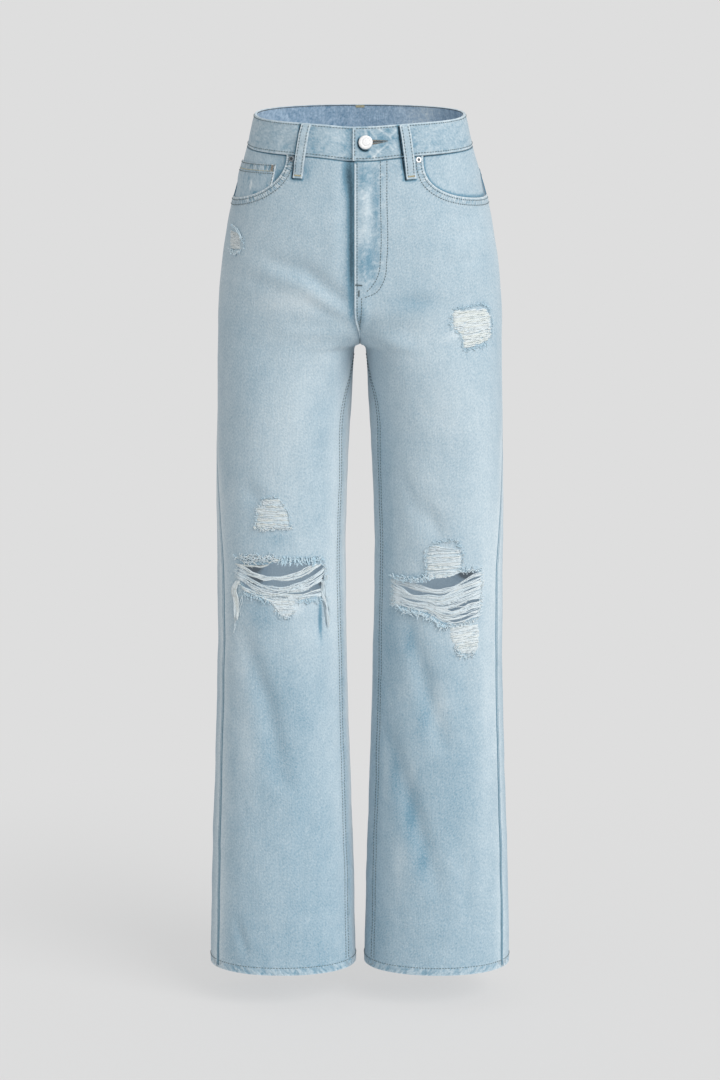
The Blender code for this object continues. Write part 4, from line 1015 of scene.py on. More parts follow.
def yoke_seam(side, below):
    """Places along the yoke seam, from the centre back to the outseam."""
    places = []
    for t in np.linspace(0, 1, 40):
        drop = YOKE_CENTRE + (YOKE_SIDE - YOKE_CENTRE) * t + below
        width = float(width_at(side, BACK, drop))
        places.append((SEAM / 2 + (width - SEAM) * t, drop))
    return places


def pocket_corners(side, inset=0.0):
    """The five corners of a back pocket, drawn in by an inset."""
    top, low = POCKET_HALF_TOP - inset, POCKET_HALF_LOW - inset
    spots = [(-top, POCKET_TOP + inset), (top, POCKET_TOP - 0.006 + inset),
             (low, POCKET_CORNER - inset * 0.4), (0, POCKET_POINT - inset * 1.2),
             (-low, POCKET_CORNER - inset * 0.4)]
    return places_at(side, BACK, [(POCKET_MIDDLE + x, level) for x, level in spots])


def closed_line(corners, step):
    """Places round a closed figure with straight sides."""
    corners = [tuple(corner) for corner in corners]
    return [place for start, end in zip(corners, corners[1:] + corners[:1])
            for place in line(start, end, step)]


for side in (RIGHT, LEFT):
    outer, place = outseam(side, BACK), cloth_placer(side, BACK)
    seam = yoke_seam(side, SEAM / 2)
    side_edge, hem_edge, inseam, rise = leg_edges(
        outer, lambda drop: SEAM / 2, seam[-1][1], seam[0][1])
    outline = seam[:-1] + side_edge + hem_edge + inseam + rise
    pocket = closed_line(pocket_corners(side), FINE)
    flat = cut_flat(outline, BACK_STEP)
    places = flat[0]
    seams = [(seam, 0.009, 0.7, 0.9), (hem_edge, HEM_FOLD, 1.0, -0.2), (inseam, 0.006, 0.3, 0.0),
             (side_edge, 0.006, 0.35, 1.2), (rise, 0.009, 0.6, 0.9)]

    def back_face(places, side=side, seam=seam):
        """The outer face: small waves, the raised felled seams and the hem."""
        lift = cloth_ripples(side, BACK, places)
        lift += ridge(DROP_END - places[:, 1], 0.0006)
        lift += ridge(nearest(places, np.array(seam))[0], 0.0005)
        if side == LEFT:
            lift += ridge(places[:, 0], 0.0005) * (1 - smoothstep(*BACK_RISE_ENDS, places[:, 1]))
        return lift

    deep_and_shade = blob(places, side, BACK, BACK_DEEP) + lower_blue(places)
    fade_and_light = blob(places, side, BACK, BACK_FADE + (INSEAM_LIGHT[side],))
    values = cloth_values(places, seams, grain_at(side, BACK, places),
                          deep_and_shade + crotch_shade(places, 0.002, 0.008),
                          fade_and_light + painted_side_light(side, BACK, places))
    lines = [hem_line(outer)]
    lines += [np.array(seam) + (0, distance) for distance in SEAM_STITCH]
    if side == LEFT:
        down = np.linspace(seam[0][1] + 0.004, CROTCH_DROP - 0.004, 60)
        lines += [[(distance, drop) for drop in down] for distance in SEAM_STITCH]
    shade = values["deep_and_shade"] + blob(places, side, BACK, INSIDE_SHADE[side])
    cloth_wall("back_" + side_name(side), flat, back_face, place, DENIM, values, lines,
               inner_values={"deep_and_shade": shade})

    def pocket_face(places, side=side, back_face=back_face, pocket=pocket):
        """The pocket lies on the panel and bellies out a little between its seams."""
        apart = nearest(places, np.array(pocket + pocket[:1]))[0]
        belly = smoothstep(*POCKET_BELLY_WIDE, apart) * POCKET_BELLY
        return back_face(places) + DENIM + SEAM + belly

    flat = cut_flat(pocket)
    corners = pocket_corners(side)
    values = cloth_values(flat[0], [(pocket + pocket[:1], 0.009, 0.8, -0.4)],
                          grain_at(side, BACK, flat[0]) + (0.05, 0.11, 0.4),
                          fade_and_light=blob(flat[0], side, BACK, POCKET_FADE))
    lines = []
    for inset in POCKET_STITCH:
        ring = pocket_corners(side, inset)
        lines.append(evenly(np.vstack([ring[1:], ring[:1]]), 0.004))
    for down in (POCKET_STITCH[0], POCKET_HEM):
        lines.append(evenly(corners[:2] + np.array([(0.004, down), (-0.004, down)]), 0.004))
    cloth_wall("back_pocket_" + side_name(side), flat, pocket_face, place, DENIM,
               values, lines)

    seam = yoke_seam(side, -SEAM / 2)
    top = BAND_HEIGHT + SEAM
    top_edge = line((SEAM / 2, top), (outer(top), top), FINE)
    outline = top_edge + down_edge(outer, top, seam[-1][1]) + seam[:0:-1]
    flat = cut_flat(outline + line(seam[0], (SEAM / 2, top), FINE))

    def yoke_face(places, side=side):
        return cloth_ripples(side, BACK, places)

    values = cloth_values(flat[0], [(seam, 0.006, 0.5, 0.6), (top_edge, 0.004, 0.3, 0.8)],
                          grain_at(side, BACK, flat[0]) + (0.3, 0.2, 0.6), 0.08)
    cloth_wall("yoke_" + side_name(side), flat, yoke_face, place, DENIM, values)


# ---------------------------------------------------------------------------------------------
# Pocket facings and coin pocket. Denim set behind each curved pocket mouth, and on the wearer's
# right a small patch pocket sewn to it, its folded top double stitched and barred at the corner.
# ---------------------------------------------------------------------------------------------
FACING_TUCK = 1.08            # how far the facing runs on under the front, in mouth sizes
TUCK_SIDE = 0.028             # distance from the outseam at which that tuck runs out
FACING_SUNK = 0.0030          # depth of the facing under the front at the mouth
FACING_SINKS = (0.40, 0.88)   # share of the way to the mouth over which it goes down
FACING_WALL, FACING_STEP = 0.0010, 0.003
MOUTH_SHADE, MOUTH_SHADE_WIDE = 1.1, (0.0005, 0.0055)
COIN_TOP_SIDE, COIN_TOP_FREE, COIN_LOW_FREE = 0.0560, (0.0997, 0.0502), (0.1058, 0.0785)
COIN_SIZE = 1.03              # its lower edge is tucked in under the mouth
COIN_WALL, COIN_STEP = 0.0012, 0.0022
COIN_STITCH, COIN_TAN_STITCH, COIN_SIDE_STITCH = (0.0016, 0.0112), 0.0084, 0.0016
COIN_LINE = 0.003             # distance between the points of its outline
BARTACK_PITCH = 0.00062       # the dense zigzag of a bar
COIN_SHADE = ((98, 68, 6, 12, 0.7), (94, 50, 8, 14, 0.25))    # painted shadow of the coin pocket's free side, on the facing beside it
COIN_DEEP = ((125, 88, 7, 4, 0.8), (112, 83, 5, 4, 0.5))
COIN_FADE = ((129.5, 76, 1.6, 3.5, 1.0), (131.5, 81, 1.6, 3.5, 0.9))
FLY_BARS = (((-5.0, 198.0), (2.4, 198.4)), ((-1.2, 205.0), (-1.2, 212.0)))


def mouth_measure(side, places):
    """0 at the side seam under the waistband, 1 on the pocket's mouth."""
    reach, depth, fall, fullness = MOUTHS[side]
    over = MOUTH_SIDE - np.abs(on_cloth(side, FRONT, places)[:, 0])
    down = places[:, 1] - BAND_HEIGHT - SEAM - fall * (reach - over)
    ends = np.clip(over / reach, 0, None) ** fullness + np.clip(down / depth, 0, None) ** fullness
    return ends ** (1 / fullness)


def bartack(name, side, part, face, start, end, wide, finish):
    """A bar of dense zigzag stitches between two spots, given as (x, level) in millimetres."""
    start, end = places_at(side, part, np.array([start, end]) * MM)
    long = float(np.linalg.norm(end - start))
    count = max(4, round(long / BARTACK_PITCH))
    way = (end - start) / long
    over = np.array([-way[1], way[0]]) * wide / 2
    centres = start + (end - start) * np.linspace(0, 1, count)[:, None]
    share = np.linspace(-1, 1, 5)[None, :, None]
    flat = (centres[:, None] + over * share + way * 0.0003 * share).reshape(-1, 2)
    lifts = face(flat) + np.tile((-0.0001, 0.0004, 0.00055, 0.0004, -0.0001), count)
    radii = np.tile((0.0002, 0.00036, 0.00038, 0.00036, 0.0002), (count, 1))
    return sewn_rings(name, flat, lifts, cloth_placer(side, part), radii, finish)


for side in (RIGHT, LEFT):
    top, outer = BAND_HEIGHT + SEAM, outseam(side, FRONT)
    tucked = mouth(side, FACING_TUCK)
    end = mouth(side)[-1][1] - 2 * SEAM
    band_line = line(tuple(tucked[0]), (outer(top), top), FINE)
    outline = band_line + down_edge(outer, top, end)
    low = [tuple(place) for place in tucked[1:-1] if place[0] < outer(end) - TUCK_SIDE]
    outline += [(outer(end), end)] + low[::-1]
    flat = cut_flat(outline, FACING_STEP)

    def facing_face(places, side=side):
        sunk = -FACING_SUNK * smoothstep(*FACING_SINKS, mouth_measure(side, places))
        return sunk + cloth_ripples(side, FRONT, places)

    # painted shadow of the pocket mouth's folded rim on the facing
    shade = 1 - smoothstep(*MOUTH_SHADE_WIDE, nearest(flat[0], mouth(side))[0])
    values = cloth_values(flat[0], [(down_edge(outer, top, end), 0.006, 0.3, 0.2),
                                    (band_line, 0.004, 0.3, 1.8)],
                          grain_at(side, FRONT, flat[0]) + (0.2, 0.5, 0.8),
                          0.05 + MOUTH_SHADE * shade)
    if side == RIGHT:
        values["deep_and_shade"] += blob(flat[0], side, FRONT, COIN_SHADE)
    cloth_wall("pocket_facing_" + side_name(side), flat, facing_face, cloth_placer(side, FRONT),
               FACING_WALL, values)
    if side == RIGHT:
        coin_base = facing_face

outer, place = outseam(RIGHT, FRONT), cloth_placer(RIGHT, FRONT)
corner, low = places_at(RIGHT, FRONT, [COIN_TOP_FREE, COIN_LOW_FREE])
curve_below = [tuple(place) for place in mouth(RIGHT, COIN_SIZE)[:-1] if place[0] > low[0] + 0.002]
end = curve_below[-1][1]
start = (outer(COIN_TOP_SIDE) - 2 * SEAM, COIN_TOP_SIDE)
coin_top = line(start, tuple(corner), COIN_LINE)
coin_free = line(tuple(corner), tuple(low), COIN_LINE)
outline = (coin_top + coin_free + [tuple(low)] + curve_below
           + line((outer(end) - 2 * SEAM, end), start, COIN_LINE))
flat = cut_flat(outline, COIN_STEP)


def coin_face(places):
    return coin_base(places) + COIN_WALL + SEAM


top_line, free_line = np.array(coin_top + [tuple(corner)]), np.array(coin_free + [tuple(low)])
deep_and_shade = 0.10 + 0.45 * creases(flat[0], 0.0035, 0.05, 0.0, 9.3)
values = cloth_values(flat[0], [(top_line, 0.0100, 1.9, -0.3, 4.2), (free_line, 0.003, 0.5, -1.2)],
                      grain_at(RIGHT, FRONT, flat[0]) + (0.1, 0.7, 0.5),
                      deep_and_shade + blob(flat[0], RIGHT, FRONT, COIN_DEEP),
                      blob(flat[0], RIGHT, FRONT, COIN_FADE))
lines = [top_line + (0, down) for down in COIN_STITCH] + [free_line + (COIN_SIDE_STITCH, 0)]
sewn = stitches("topstitch_coin_pocket", lines, coin_face, place, thread_grey)
hem_sewn = stitches("topstitch_coin_hem", [top_line + (0, COIN_TAN_STITCH)], coin_face, place,
                    thread_tan)
bar = bartack("bartack_coin_pocket", RIGHT, FRONT, coin_face, (103.6, 52.0), (104.8, 58.0), 0.0032,
              thread_beige)
cloth_wall("coin_pocket", flat, coin_face, place, COIN_WALL, values,
           sewn=[sewn, hem_sewn, bar])
for number, (start, end) in enumerate(FLY_BARS):
    bartack(f"bartack_fly_{number}", LEFT, FRONT, left_front_face, start, end, 0.0016, thread_grey)


# ---------------------------------------------------------------------------------------------
# Waistband. A folded strip of two layers of denim with a stiffener between, its grain running round
# the waist, stitched along both edges. Its end with the buttonhole laps over the button's end.
# ---------------------------------------------------------------------------------------------
BAND_WALL = 0.0025
BAND_PROUD = 0.0006           # band's face above the panels' face
BAND_UNDER = 0.030            # how far past the middle the covered end runs
BAND_OVER = 0.0085            # how far past the middle the lapping end runs
BAND_SUNK = 0.0030            # depth of the covered end under the lapping one
BAND_SUNK_ENDS = (0.012, 0.045)   # how far from the middle it comes up again
BAND_ROLL, BAND_ROLL_WIDE = 0.0005, 0.0016    # rounding of its folded edges
BAND_FLAT = (0.002, 0.010)    # how far from them its waves begin
BAND_CORNER, BAND_STEP = 0.005, 0.0020
BAND_SHADE_RINGS = (0.0078, 0.0088, 0.0098, 0.0108)
BAND_LOOP_SHADE, BAND_LOOP_SHADE_WIDE = 2.9, 0.0015
BAND_CREASE_FADE, BAND_CREASE_WIDE = 0.55, 0.0013
BUTTON_SHADE, BUTTON_SHADE_RADIUS, BUTTON_SHADE_WIDE = 2.8, 0.0089, 0.0010
BAND_STITCH_TOP, BAND_STITCH_LOW, BAND_STITCH_END = 0.0024, 0.0027, 0.0025
BUTTON_X, BUTTON_LEVEL = 0.0065, 0.0175
BUTTONHOLE_END = 0.0325
EYELET_RADIUS = 0.0032
BAND_RIPPLE = ((0.021, 0.0006), (0.009, 0.00025))
BAND_INSIDE_PALE, BAND_INSIDE_DEEP = "#BACEE0", "#5F84A2"
BAND_SHADE_SPOTS = (              # side, distance from the middle, half width, strength: darker spots of painted shade by the loops
    (RIGHT, 0.055, 0.006, 0.25), (LEFT, 0.060, 0.006, 0.2), (RIGHT, 0.012, 0.006, 0.35),
)
BAND_CREASES = (              # pale creases round the buttonhole, x and level on the left in mm
    ((10.6, 3.4), (19.0, 13.1)), ((21.5, 3.4), (34, 12.0), (39.5, 19.8), (42, 25.5)),
    ((42, 6.2), (36.2, 12.0)), ((6, 3.9), (7.7, 10.0)), ((31.5, 21.3), (21.4, 28.6), (15.7, 33.6)),
    ((11.4, 27), (17.4, 34)), ((19.9, 26.7), (24, 31)), ((34.9, 22.4), (38.2, 27.5)),
)
BAND_BLUES = ((25.7, 14.2, 6, 3), (11.4, 7.3, 2.5, 3), (11.3, 33.4, 4, 2), (27.4, 22.2, 4, 2),
              (31, 6.1, 4, 3), (38, 15.6, 2, 4))


def waist_ring(distances, drops, lifts):
    """Points round the waist at distances from the middle front, by the wearer's right side."""
    to_side = width_at(RIGHT, FRONT, drops)
    to_back = to_side + width_at(RIGHT, BACK, drops)
    to_left = to_back + width_at(LEFT, BACK, drops)
    girth = to_left + width_at(LEFT, FRONT, drops)
    result = np.zeros((len(distances), 3))
    stretches = [
        (distances < to_side, RIGHT, FRONT, distances),
        ((distances >= to_side) & (distances < to_back), RIGHT, BACK, to_back - distances),
        ((distances >= to_back) & (distances < to_left), LEFT, BACK, distances - to_back),
        (distances >= to_left, LEFT, FRONT, girth - distances),
    ]
    for chosen, side, part, out in stretches:
        if chosen.any():
            places = np.stack([out[chosen], drops[chosen]], 1)
            result[chosen] = on_cloth(side, part, places, lifts[chosen])
    return result


def girth_at(drops):
    return sum(width_at(side, part, drops) for side in (LEFT, RIGHT) for part in (FRONT, BACK))


BAND_GIRTH = float(girth_at(BAND_HEIGHT / 2))


def band_placer(places, lifts):
    """The strip's own distances are scaled to the girth of each level."""
    distances, drops = places[:, 0], places[:, 1]
    past = np.maximum(distances - BAND_GIRTH, 0) + np.minimum(distances, 0)
    round_waist = np.clip(distances, 0, BAND_GIRTH) / BAND_GIRTH * girth_at(drops) + past
    return waist_ring(round_waist, drops, lifts)


def band_face(places):
    """The band's outer face: its sunk end, soft creases and folded edges."""
    lift = BAND_PROUD - BAND_SUNK * (1 - smoothstep(*BAND_SUNK_ENDS, places[:, 0]))
    edge = np.minimum(places[:, 1], BAND_HEIGHT - places[:, 1])
    lift -= BAND_ROLL * (1 - smoothstep(0.0, BAND_ROLL_WIDE, edge)) ** 2
    inner = smoothstep(*BAND_FLAT, edge)
    return lift + ripples(band_placer(places, np.zeros(len(places))), BAND_RIPPLE) * inner


def band_place(side, x, level):
    """The strip's own place of a spot on the front, x being its distance from the middle plane."""
    (out, drop), = places_at(side, FRONT, [(x, level)])
    share = out / float(girth_at(drop))
    return ((share if side == RIGHT else 1 - share) * BAND_GIRTH, drop)


far = BAND_GIRTH + BAND_OVER
corner = far - BAND_CORNER
outline = line((-BAND_UNDER, 0.0), (corner, 0.0), FINE)
outline += [(corner + BAND_CORNER * math.sin(angle), BAND_CORNER - BAND_CORNER * math.cos(angle))
            for angle in np.radians(np.arange(0, 90, 15))]
around = ((far, BAND_CORNER), (far, BAND_HEIGHT), (-BAND_UNDER, BAND_HEIGHT), (-BAND_UNDER, 0.0))
for start, end in zip(around, around[1:]):
    outline += line(start, end, FINE)
eyelet = BAND_GIRTH - BUTTON_X
hole = [(eyelet + EYELET_RADIUS * math.cos(a), BUTTON_LEVEL + EYELET_RADIUS * math.sin(a))
        for a in np.radians(np.arange(-168, 169, 12))]
slit_end = BAND_GIRTH - BUTTONHOLE_END
hole += [(slit_end, BUTTON_LEVEL + 0.0002), (slit_end, BUTTON_LEVEL - 0.0002)]
marks = [np.array([band_place(LEFT, x * MM, level * MM) for x, level in
                   smooth_line(np.array(spots, float), 1.5)]) for spots in BAND_CREASES]
shades = []
for side in (RIGHT, LEFT):
    spots = np.array([band_place(side, x * MM, level * MM) for x, level in
                      smooth_line(np.array(LOOP_SHADE[side][0], float), 1.5)])
    shades.append(spots[(spots[:, 1] > 0.001) & (spots[:, 1] < BAND_HEIGHT - 0.001)])
extra = marks + [spots + (apart * MM, 0) for spots in shades for apart in (-2.6, -1.3, 0, 1.3, 2.6)]
turn = np.radians(np.arange(-60, 250, 6))
extra += [np.stack([eyelet + ring * np.cos(turn), BUTTON_LEVEL + ring * np.sin(turn)], 1)
          for ring in BAND_SHADE_RINGS]
flat = cut_flat(outline, BAND_STEP, [hole], extra)
top_edge = np.array(line((-BAND_UNDER, 0.0), (far, 0.0), 0.02))
low_edge = np.array(line((-BAND_UNDER, BAND_HEIGHT), (far, BAND_HEIGHT), 0.02))
end_edge = np.array([(far, 0.0), (far, BAND_HEIGHT)])
round_hole = nearest(flat[0], np.array(hole + hole[:1]))[0]
values = cloth_values(
    flat[0], [(top_edge, 0.004, 0.35, -0.4), (low_edge, 0.004, 0.45, -0.3),
              (end_edge, 0.004, 0.4, -0.5)],
    own_grain(flat[0][:, ::-1], 2.2),
    0.25 * (1 - smoothstep(0.004, 0.022, round_hole)) + 0.08)
values["inside"] = own_grain(flat[0], 4.1)
for side, x, wide, amount in BAND_SHADE_SPOTS:
    where = band_place(side, x, 0.02)[0]
    values["deep_and_shade"] += amount * np.exp(-((flat[0][:, 0] - where) / wide) ** 2)
wrinkled = 0.35 * smoothstep(0.020, 0.035, round_hole)
values["fade_and_light"] = wrinkled * (0.5 * creases(flat[0], 0.016, 0.007, 0.7, 1.3)
                             + 0.5 * creases(flat[0], 0.018, 0.007, -0.8, 5.7))
values["deep_and_shade"] += 0.22 * creases(flat[0], 0.030, 0.009, 0.35, 8.2)
values["fade_and_light"] += sum(BAND_CREASE_FADE * np.exp(-(nearest(flat[0], spots)[0] / BAND_CREASE_WIDE) ** 2)
                      for spots in marks)
for x, level, wide, high in BAND_BLUES:
    away = (flat[0] - band_place(LEFT, x * MM, level * MM)) / (np.array((wide, high)) * MM)
    values["deep_and_shade"] += 0.45 * np.exp(-(away ** 2).sum(axis=1))
# painted shadow beside each front loop on the band
for spots in shades:
    away = nearest(flat[0], spots)[0]
    values["deep_and_shade"] += BAND_LOOP_SHADE * np.exp(-(away / BAND_LOOP_SHADE_WIDE) ** 2)
# painted shadow of the button, a dark crescent on the band round its lower side
away = flat[0] - (eyelet, BUTTON_LEVEL)
ring = np.hypot(*away.T)
below = smoothstep(-0.1, 0.7, (0.75 * away[:, 0] + 0.65 * away[:, 1]) / ring)
rim = np.exp(-((ring - BUTTON_SHADE_RADIUS) / BUTTON_SHADE_WIDE) ** 2)
values["deep_and_shade"] += BUTTON_SHADE * below * rim
around = np.arange(-BAND_UNDER + 0.003, far - 0.003, 0.004)
lines = [[(d, BAND_STITCH_TOP) for d in around], [(d, BAND_HEIGHT - BAND_STITCH_LOW) for d in around],
         [(far - BAND_STITCH_END, d) for d in np.linspace(0.004, BAND_HEIGHT - 0.003, 12)]]
sewn = stitches("topstitch_waistband", lines, band_face, band_placer, thread_grey)
band_inside = washed_denim("denim_band_inside", BAND_INSIDE_PALE, BAND_INSIDE_DEEP,
                           BAND_INSIDE_DEEP, 1.0, grain="inside")


def band_lining(places):
    return band_face(places) - BAND_WALL


back_half = np.arange(BAND_GIRTH * 0.25, BAND_GIRTH * 0.75, 0.004)
edging = stitches("topstitch_band_back", [[(d, 0.0010) for d in back_half]], band_lining,
                  band_placer, thread_dark, 0.0034, 1.7)
ends = np.linspace(-0.0052, 0.0052, 18) + BAND_GIRTH / 2
bar = np.array([[(d, 0.0006), (d + 0.0002, 0.0016), (d, 0.0026), (d + 0.0002, 0.0036)] for d in ends])
flat_bar = bar.reshape(-1, 2)
points = band_placer(flat_bar, band_lining(flat_bar) - 0.0003)
normals = unit(points - band_placer(flat_bar, band_lining(flat_bar)))
bar = spun("bartack_band_centre", points.reshape(18, 4, 3), normals.reshape(18, 4, 3),
           np.full((18, 4), 0.00036), thread_tan)
# painted light on the inside of the back band past the centre back, where it lies in shade
band_inside_light = 0.55 * np.exp(-((flat[0][:, 0] - BAND_GIRTH / 2 - 0.085) / 0.035) ** 2)
lined = {"fade_and_light": 1.5 * values["fade_and_light"] + band_inside_light, "deep_and_shade": values["deep_and_shade"] + 0.06}
cloth_wall("waistband", flat, band_face, band_placer, BAND_WALL, values, (),
           [sewn, edging, bar], lined, band_inside)

# The buttonhole is bound in dense beige thread, wide at its eyelet and narrowing towards the end of its
# slit.
ring = evenly(np.array(hole + hole[:1]), 0.00055)
away = ring - (eyelet, BUTTON_LEVEL)
ahead = unit(np.gradient(ring, axis=0))
over = np.stack([ahead[:, 1], -ahead[:, 0]], 1)
share = np.array((-0.0001, 0.0009, 0.0019, 0.0028))
narrow = np.interp(ring[:, 0], (slit_end, eyelet), (0.30, 1.0))
rings = ring[:, None] + over[:, None] * share[None, :, None] * narrow[:, None, None]
rings = rings.reshape(-1, 2)
lifts = band_face(rings) + np.tile((-0.0004, 0.0004, 0.0004, -0.0001), len(ring))
radii = np.tile((0.0002, 0.0003, 0.0003, 0.0002), (len(ring), 1)) * narrow[:, None]
sewn_rings("buttonhole_thread", rings, lifts, band_placer, radii, thread_beige)


# ---------------------------------------------------------------------------------------------
# Belt loops. Five narrow strips of folded denim with two rows of stitches, bowed over the band and barred
# down at their lower ends with dense tan thread.
# ---------------------------------------------------------------------------------------------
LOOP_WIDTH, LOOP_LENGTH, LOOP_WALL = 0.0115, 0.065, 0.0016
LOOP_TOP, LOOP_STEP = 0.0012, 0.0016
LOOPS = {                     # distance from the middle plane at the top and at the bottom
    "loop_front_right": (RIGHT, FRONT, 0.0625, 0.0730),
    "loop_front_left": (LEFT, FRONT, 0.0515, 0.0602),
    "loop_back_right": (RIGHT, BACK, 0.0880, 0.0960),
    "loop_back_left": (LEFT, BACK, 0.0880, 0.0960),
    "loop_back_centre": (LEFT, BACK, 0.0, 0.0),
}
LOOP_BOW = 0.0028             # height of the loop's inner face over the band at its middle
LOOP_RISES, LOOP_FALLS = (0.0, 0.22), (0.70, 0.93)   # shares of its length
LOOP_SEAT = 0.0004            # height of its sewn ends over what they are sewn to
LOOP_STITCH = 0.0021          # in from its edges
LOOP_BAR = 14                 # stitches of the bar across its lower end
LOOP_BAR_UP, LOOP_BAR_HALF = 0.0030, 0.0040


def loop_face(places):
    along = (places[:, 1] - LOOP_TOP) / (LOOP_LENGTH - LOOP_TOP)
    on_band = 1 - smoothstep(BAND_HEIGHT, BAND_HEIGHT + 0.004, places[:, 1])
    bow = smoothstep(*LOOP_RISES, along) * (1 - smoothstep(*LOOP_FALLS, along))
    return LOOP_WALL + BAND_PROUD * on_band + LOOP_SEAT + LOOP_BOW * bow


for name, (side, part, top_x, low_x) in LOOPS.items():
    (top_out, _), (low_out, _) = places_at(side, part, [(top_x, 0.0), (low_x, LOOP_LENGTH)])
    slope = (low_out - top_out) / (LOOP_LENGTH - LOOP_TOP)
    edges = [[(top_out + slope * (drop - LOOP_TOP) + shift, drop)
              for drop in np.linspace(LOOP_TOP, LOOP_LENGTH, 40)]
             for shift in (-LOOP_WIDTH / 2, LOOP_WIDTH / 2)]
    outline = line(edges[0][0], edges[1][0], LOOP_STEP) + edges[1][:-1]
    outline += line(edges[1][-1], edges[0][-1], LOOP_STEP) + edges[0][:0:-1]
    flat = cut_flat(outline, LOOP_STEP)
    values = cloth_values(flat[0], [(edge, 0.003, 0.5, -0.35) for edge in edges],
                          own_grain(flat[0], 3.0 + top_x), 0.04)
    place = cloth_placer(side, part)
    lines = [np.array(edges[0])[1:-1] + (LOOP_STITCH, 0), np.array(edges[1])[1:-1] - (LOOP_STITCH, 0)]
    sewn = stitches("topstitch_" + name, lines, loop_face, place, thread_grey)
    drop = LOOP_LENGTH - LOOP_BAR_UP
    middle = top_out + slope * (drop - LOOP_TOP)
    centres = np.column_stack([np.linspace(middle - LOOP_BAR_HALF, middle + LOOP_BAR_HALF, LOOP_BAR),
                               np.full(LOOP_BAR, drop)])
    share = np.linspace(-0.0010, 0.0010, 4)
    rings = (centres[:, None] + np.array((0.15, 1.0)) * share[None, :, None]).reshape(-1, 2)
    lifts = loop_face(rings) + np.tile((-0.0001, 0.0003, 0.0003, -0.0001), LOOP_BAR)
    radii = np.tile((0.0002, 0.00034, 0.00034, 0.0002), (LOOP_BAR, 1))
    bar = sewn_rings("bartack_" + name, rings, lifts, place, radii, thread_tan)
    cloth_wall(name, flat, loop_face, place, LOOP_WALL, values, sewn=[sewn, bar])


# ---------------------------------------------------------------------------------------------
# Torn knees and worn patches. Where the blue warp is cut or rubbed away the white cotton weft
# stays as loose bands of threads that sag across the hole, with curly ends all round its edges.
# ---------------------------------------------------------------------------------------------
THREAD = 0.00060              # radius of a fluffy weft thread
STRAND_SPREAD = 0.29          # how far a strand's threads lie apart, as a share of its place
THREAD_POINTS = 24            # rings of a finished thread
SAG_POINTS = 26               # points of one as it is laid across a hole
RUN_ON = (0.003, 0.010)       # how far the threads run on over the cloth beside the hole
PARTED, PARTED_REACH = 0.0007, (0.0035, 0.0022)   # how far threads part, and over what ellipse
SLIT_REACH = 0.003
FLUFF_LONG, FLUFF_RADIUS = (2.0, 4.5), 0.00030    # in mm, in metres
WEFT_CREAM, WEFT_WHITE, WARP_BLUE = "#E2E7E2", "#DFE8EC", "#C0DCEA"


def weft_cotton(name):
    """Soft-spun cotton, fluffy and matt: cream and white weft, pale blue warp (tone 0, 0.25, 1)."""
    made, tree, shader = new_material(name)
    tone = add(tree, "Attribute", out="Fac", attribute_name="tone")
    spot = add(tree, "TexCoord", out="Object")
    fuzz = add(tree, "TexNoise", {"Vector": spot, "Scale": 900.0, "Detail": 3.0})
    colour = add(tree, "ValToRGB", {0: tone})
    stops = colour.node.color_ramp.elements
    stops[0].color, stops[1].color = linear(WEFT_CREAM), linear(WARP_BLUE)
    stops.new(0.25).color = linear(WEFT_WHITE)
    dust = add(tree, "MapRange", {0: fuzz, 1: 0.3, 2: 0.6, 3: 0.84})
    dusty = add(tree, "VectorMath", {0: colour, 1: dust}, operation="MULTIPLY")
    bump = add(tree, "Bump", {"Height": fuzz, "Strength": 0.6, "Distance": 0.0004})
    feed(shader, {"Base Color": dusty, "Normal": bump, "Roughness": 0.95,
                  "Specular IOR Level": 0.2, "Sheen Weight": 0.15})
    return made


cotton = weft_cotton("soft_cotton_weft")


def wander(chance, threads, count, bends, amount):
    """Smooth random wandering of threads, `bends` waves along each."""
    knots = chance.normal(0, 1, (threads, bends + 4))
    at = np.linspace(0, bends, count)
    i = at.astype(int)
    t = at - i
    weights = ((1 - t) ** 3 / 6, (3 * t ** 3 - 6 * t ** 2 + 4) / 6,
               (-3 * t ** 3 + 3 * t ** 2 + 3 * t + 1) / 6, t ** 3 / 6)
    return amount * 1.6 * sum(w * knots[:, i + k] for k, w in enumerate(weights))


def strands(name, side, groups):
    """One mesh of threads from groups of (x, level) spots in metres, lifts, radii and tones."""
    points, normals, radii, tones = [], [], [], []
    for spots, lifts, radius, tone in groups:
        threads, count = spots.shape[:2]
        places = places_at(side, FRONT, spots.reshape(-1, 2))
        face = cloth_ripples(side, FRONT, places) + lifts.ravel()
        found = on_cloth(side, FRONT, places, face)
        facing = on_cloth(side, FRONT, places, face + MM) - found
        shape = (threads, count, 3)
        wanted = np.linspace(0, count - 1, THREAD_POINTS)
        low = np.clip(wanted.astype(int), 0, count - 2)
        part = (wanted - low)[None, :, None]
        for values, into in ((found, points), (facing, normals)):
            values = values.reshape(shape)
            into.append(values[:, low] * (1 - part) + values[:, low + 1] * part)
        ends = np.interp(np.linspace(0, 1, THREAD_POINTS), (0, 0.06, 0.94, 1), (0.35, 1, 1, 0.35))
        radii.append(np.reshape(radius, (-1, 1)) * ends)
        tones.append(np.broadcast_to(tone, threads))
    normals, radii = unit(np.concatenate(normals)), np.concatenate(radii)
    lumps = wander(np.random.default_rng(len(radii)), len(radii), THREAD_POINTS, 14, 0.27)
    return spun(name, np.concatenate(points), normals, radii * np.clip(1 + lumps, 0.6, 1.5), cotton,
                {"tone": np.concatenate(tones)})


def along_curve(spots, share):
    """Spots at shares of the length of a smooth curve given in millimetres."""
    spots = np.array(spots, float) * MM
    run = run_of(spots)
    return smooth_rows(np.column_stack([run, spots]), np.asarray(share) * run[-1])


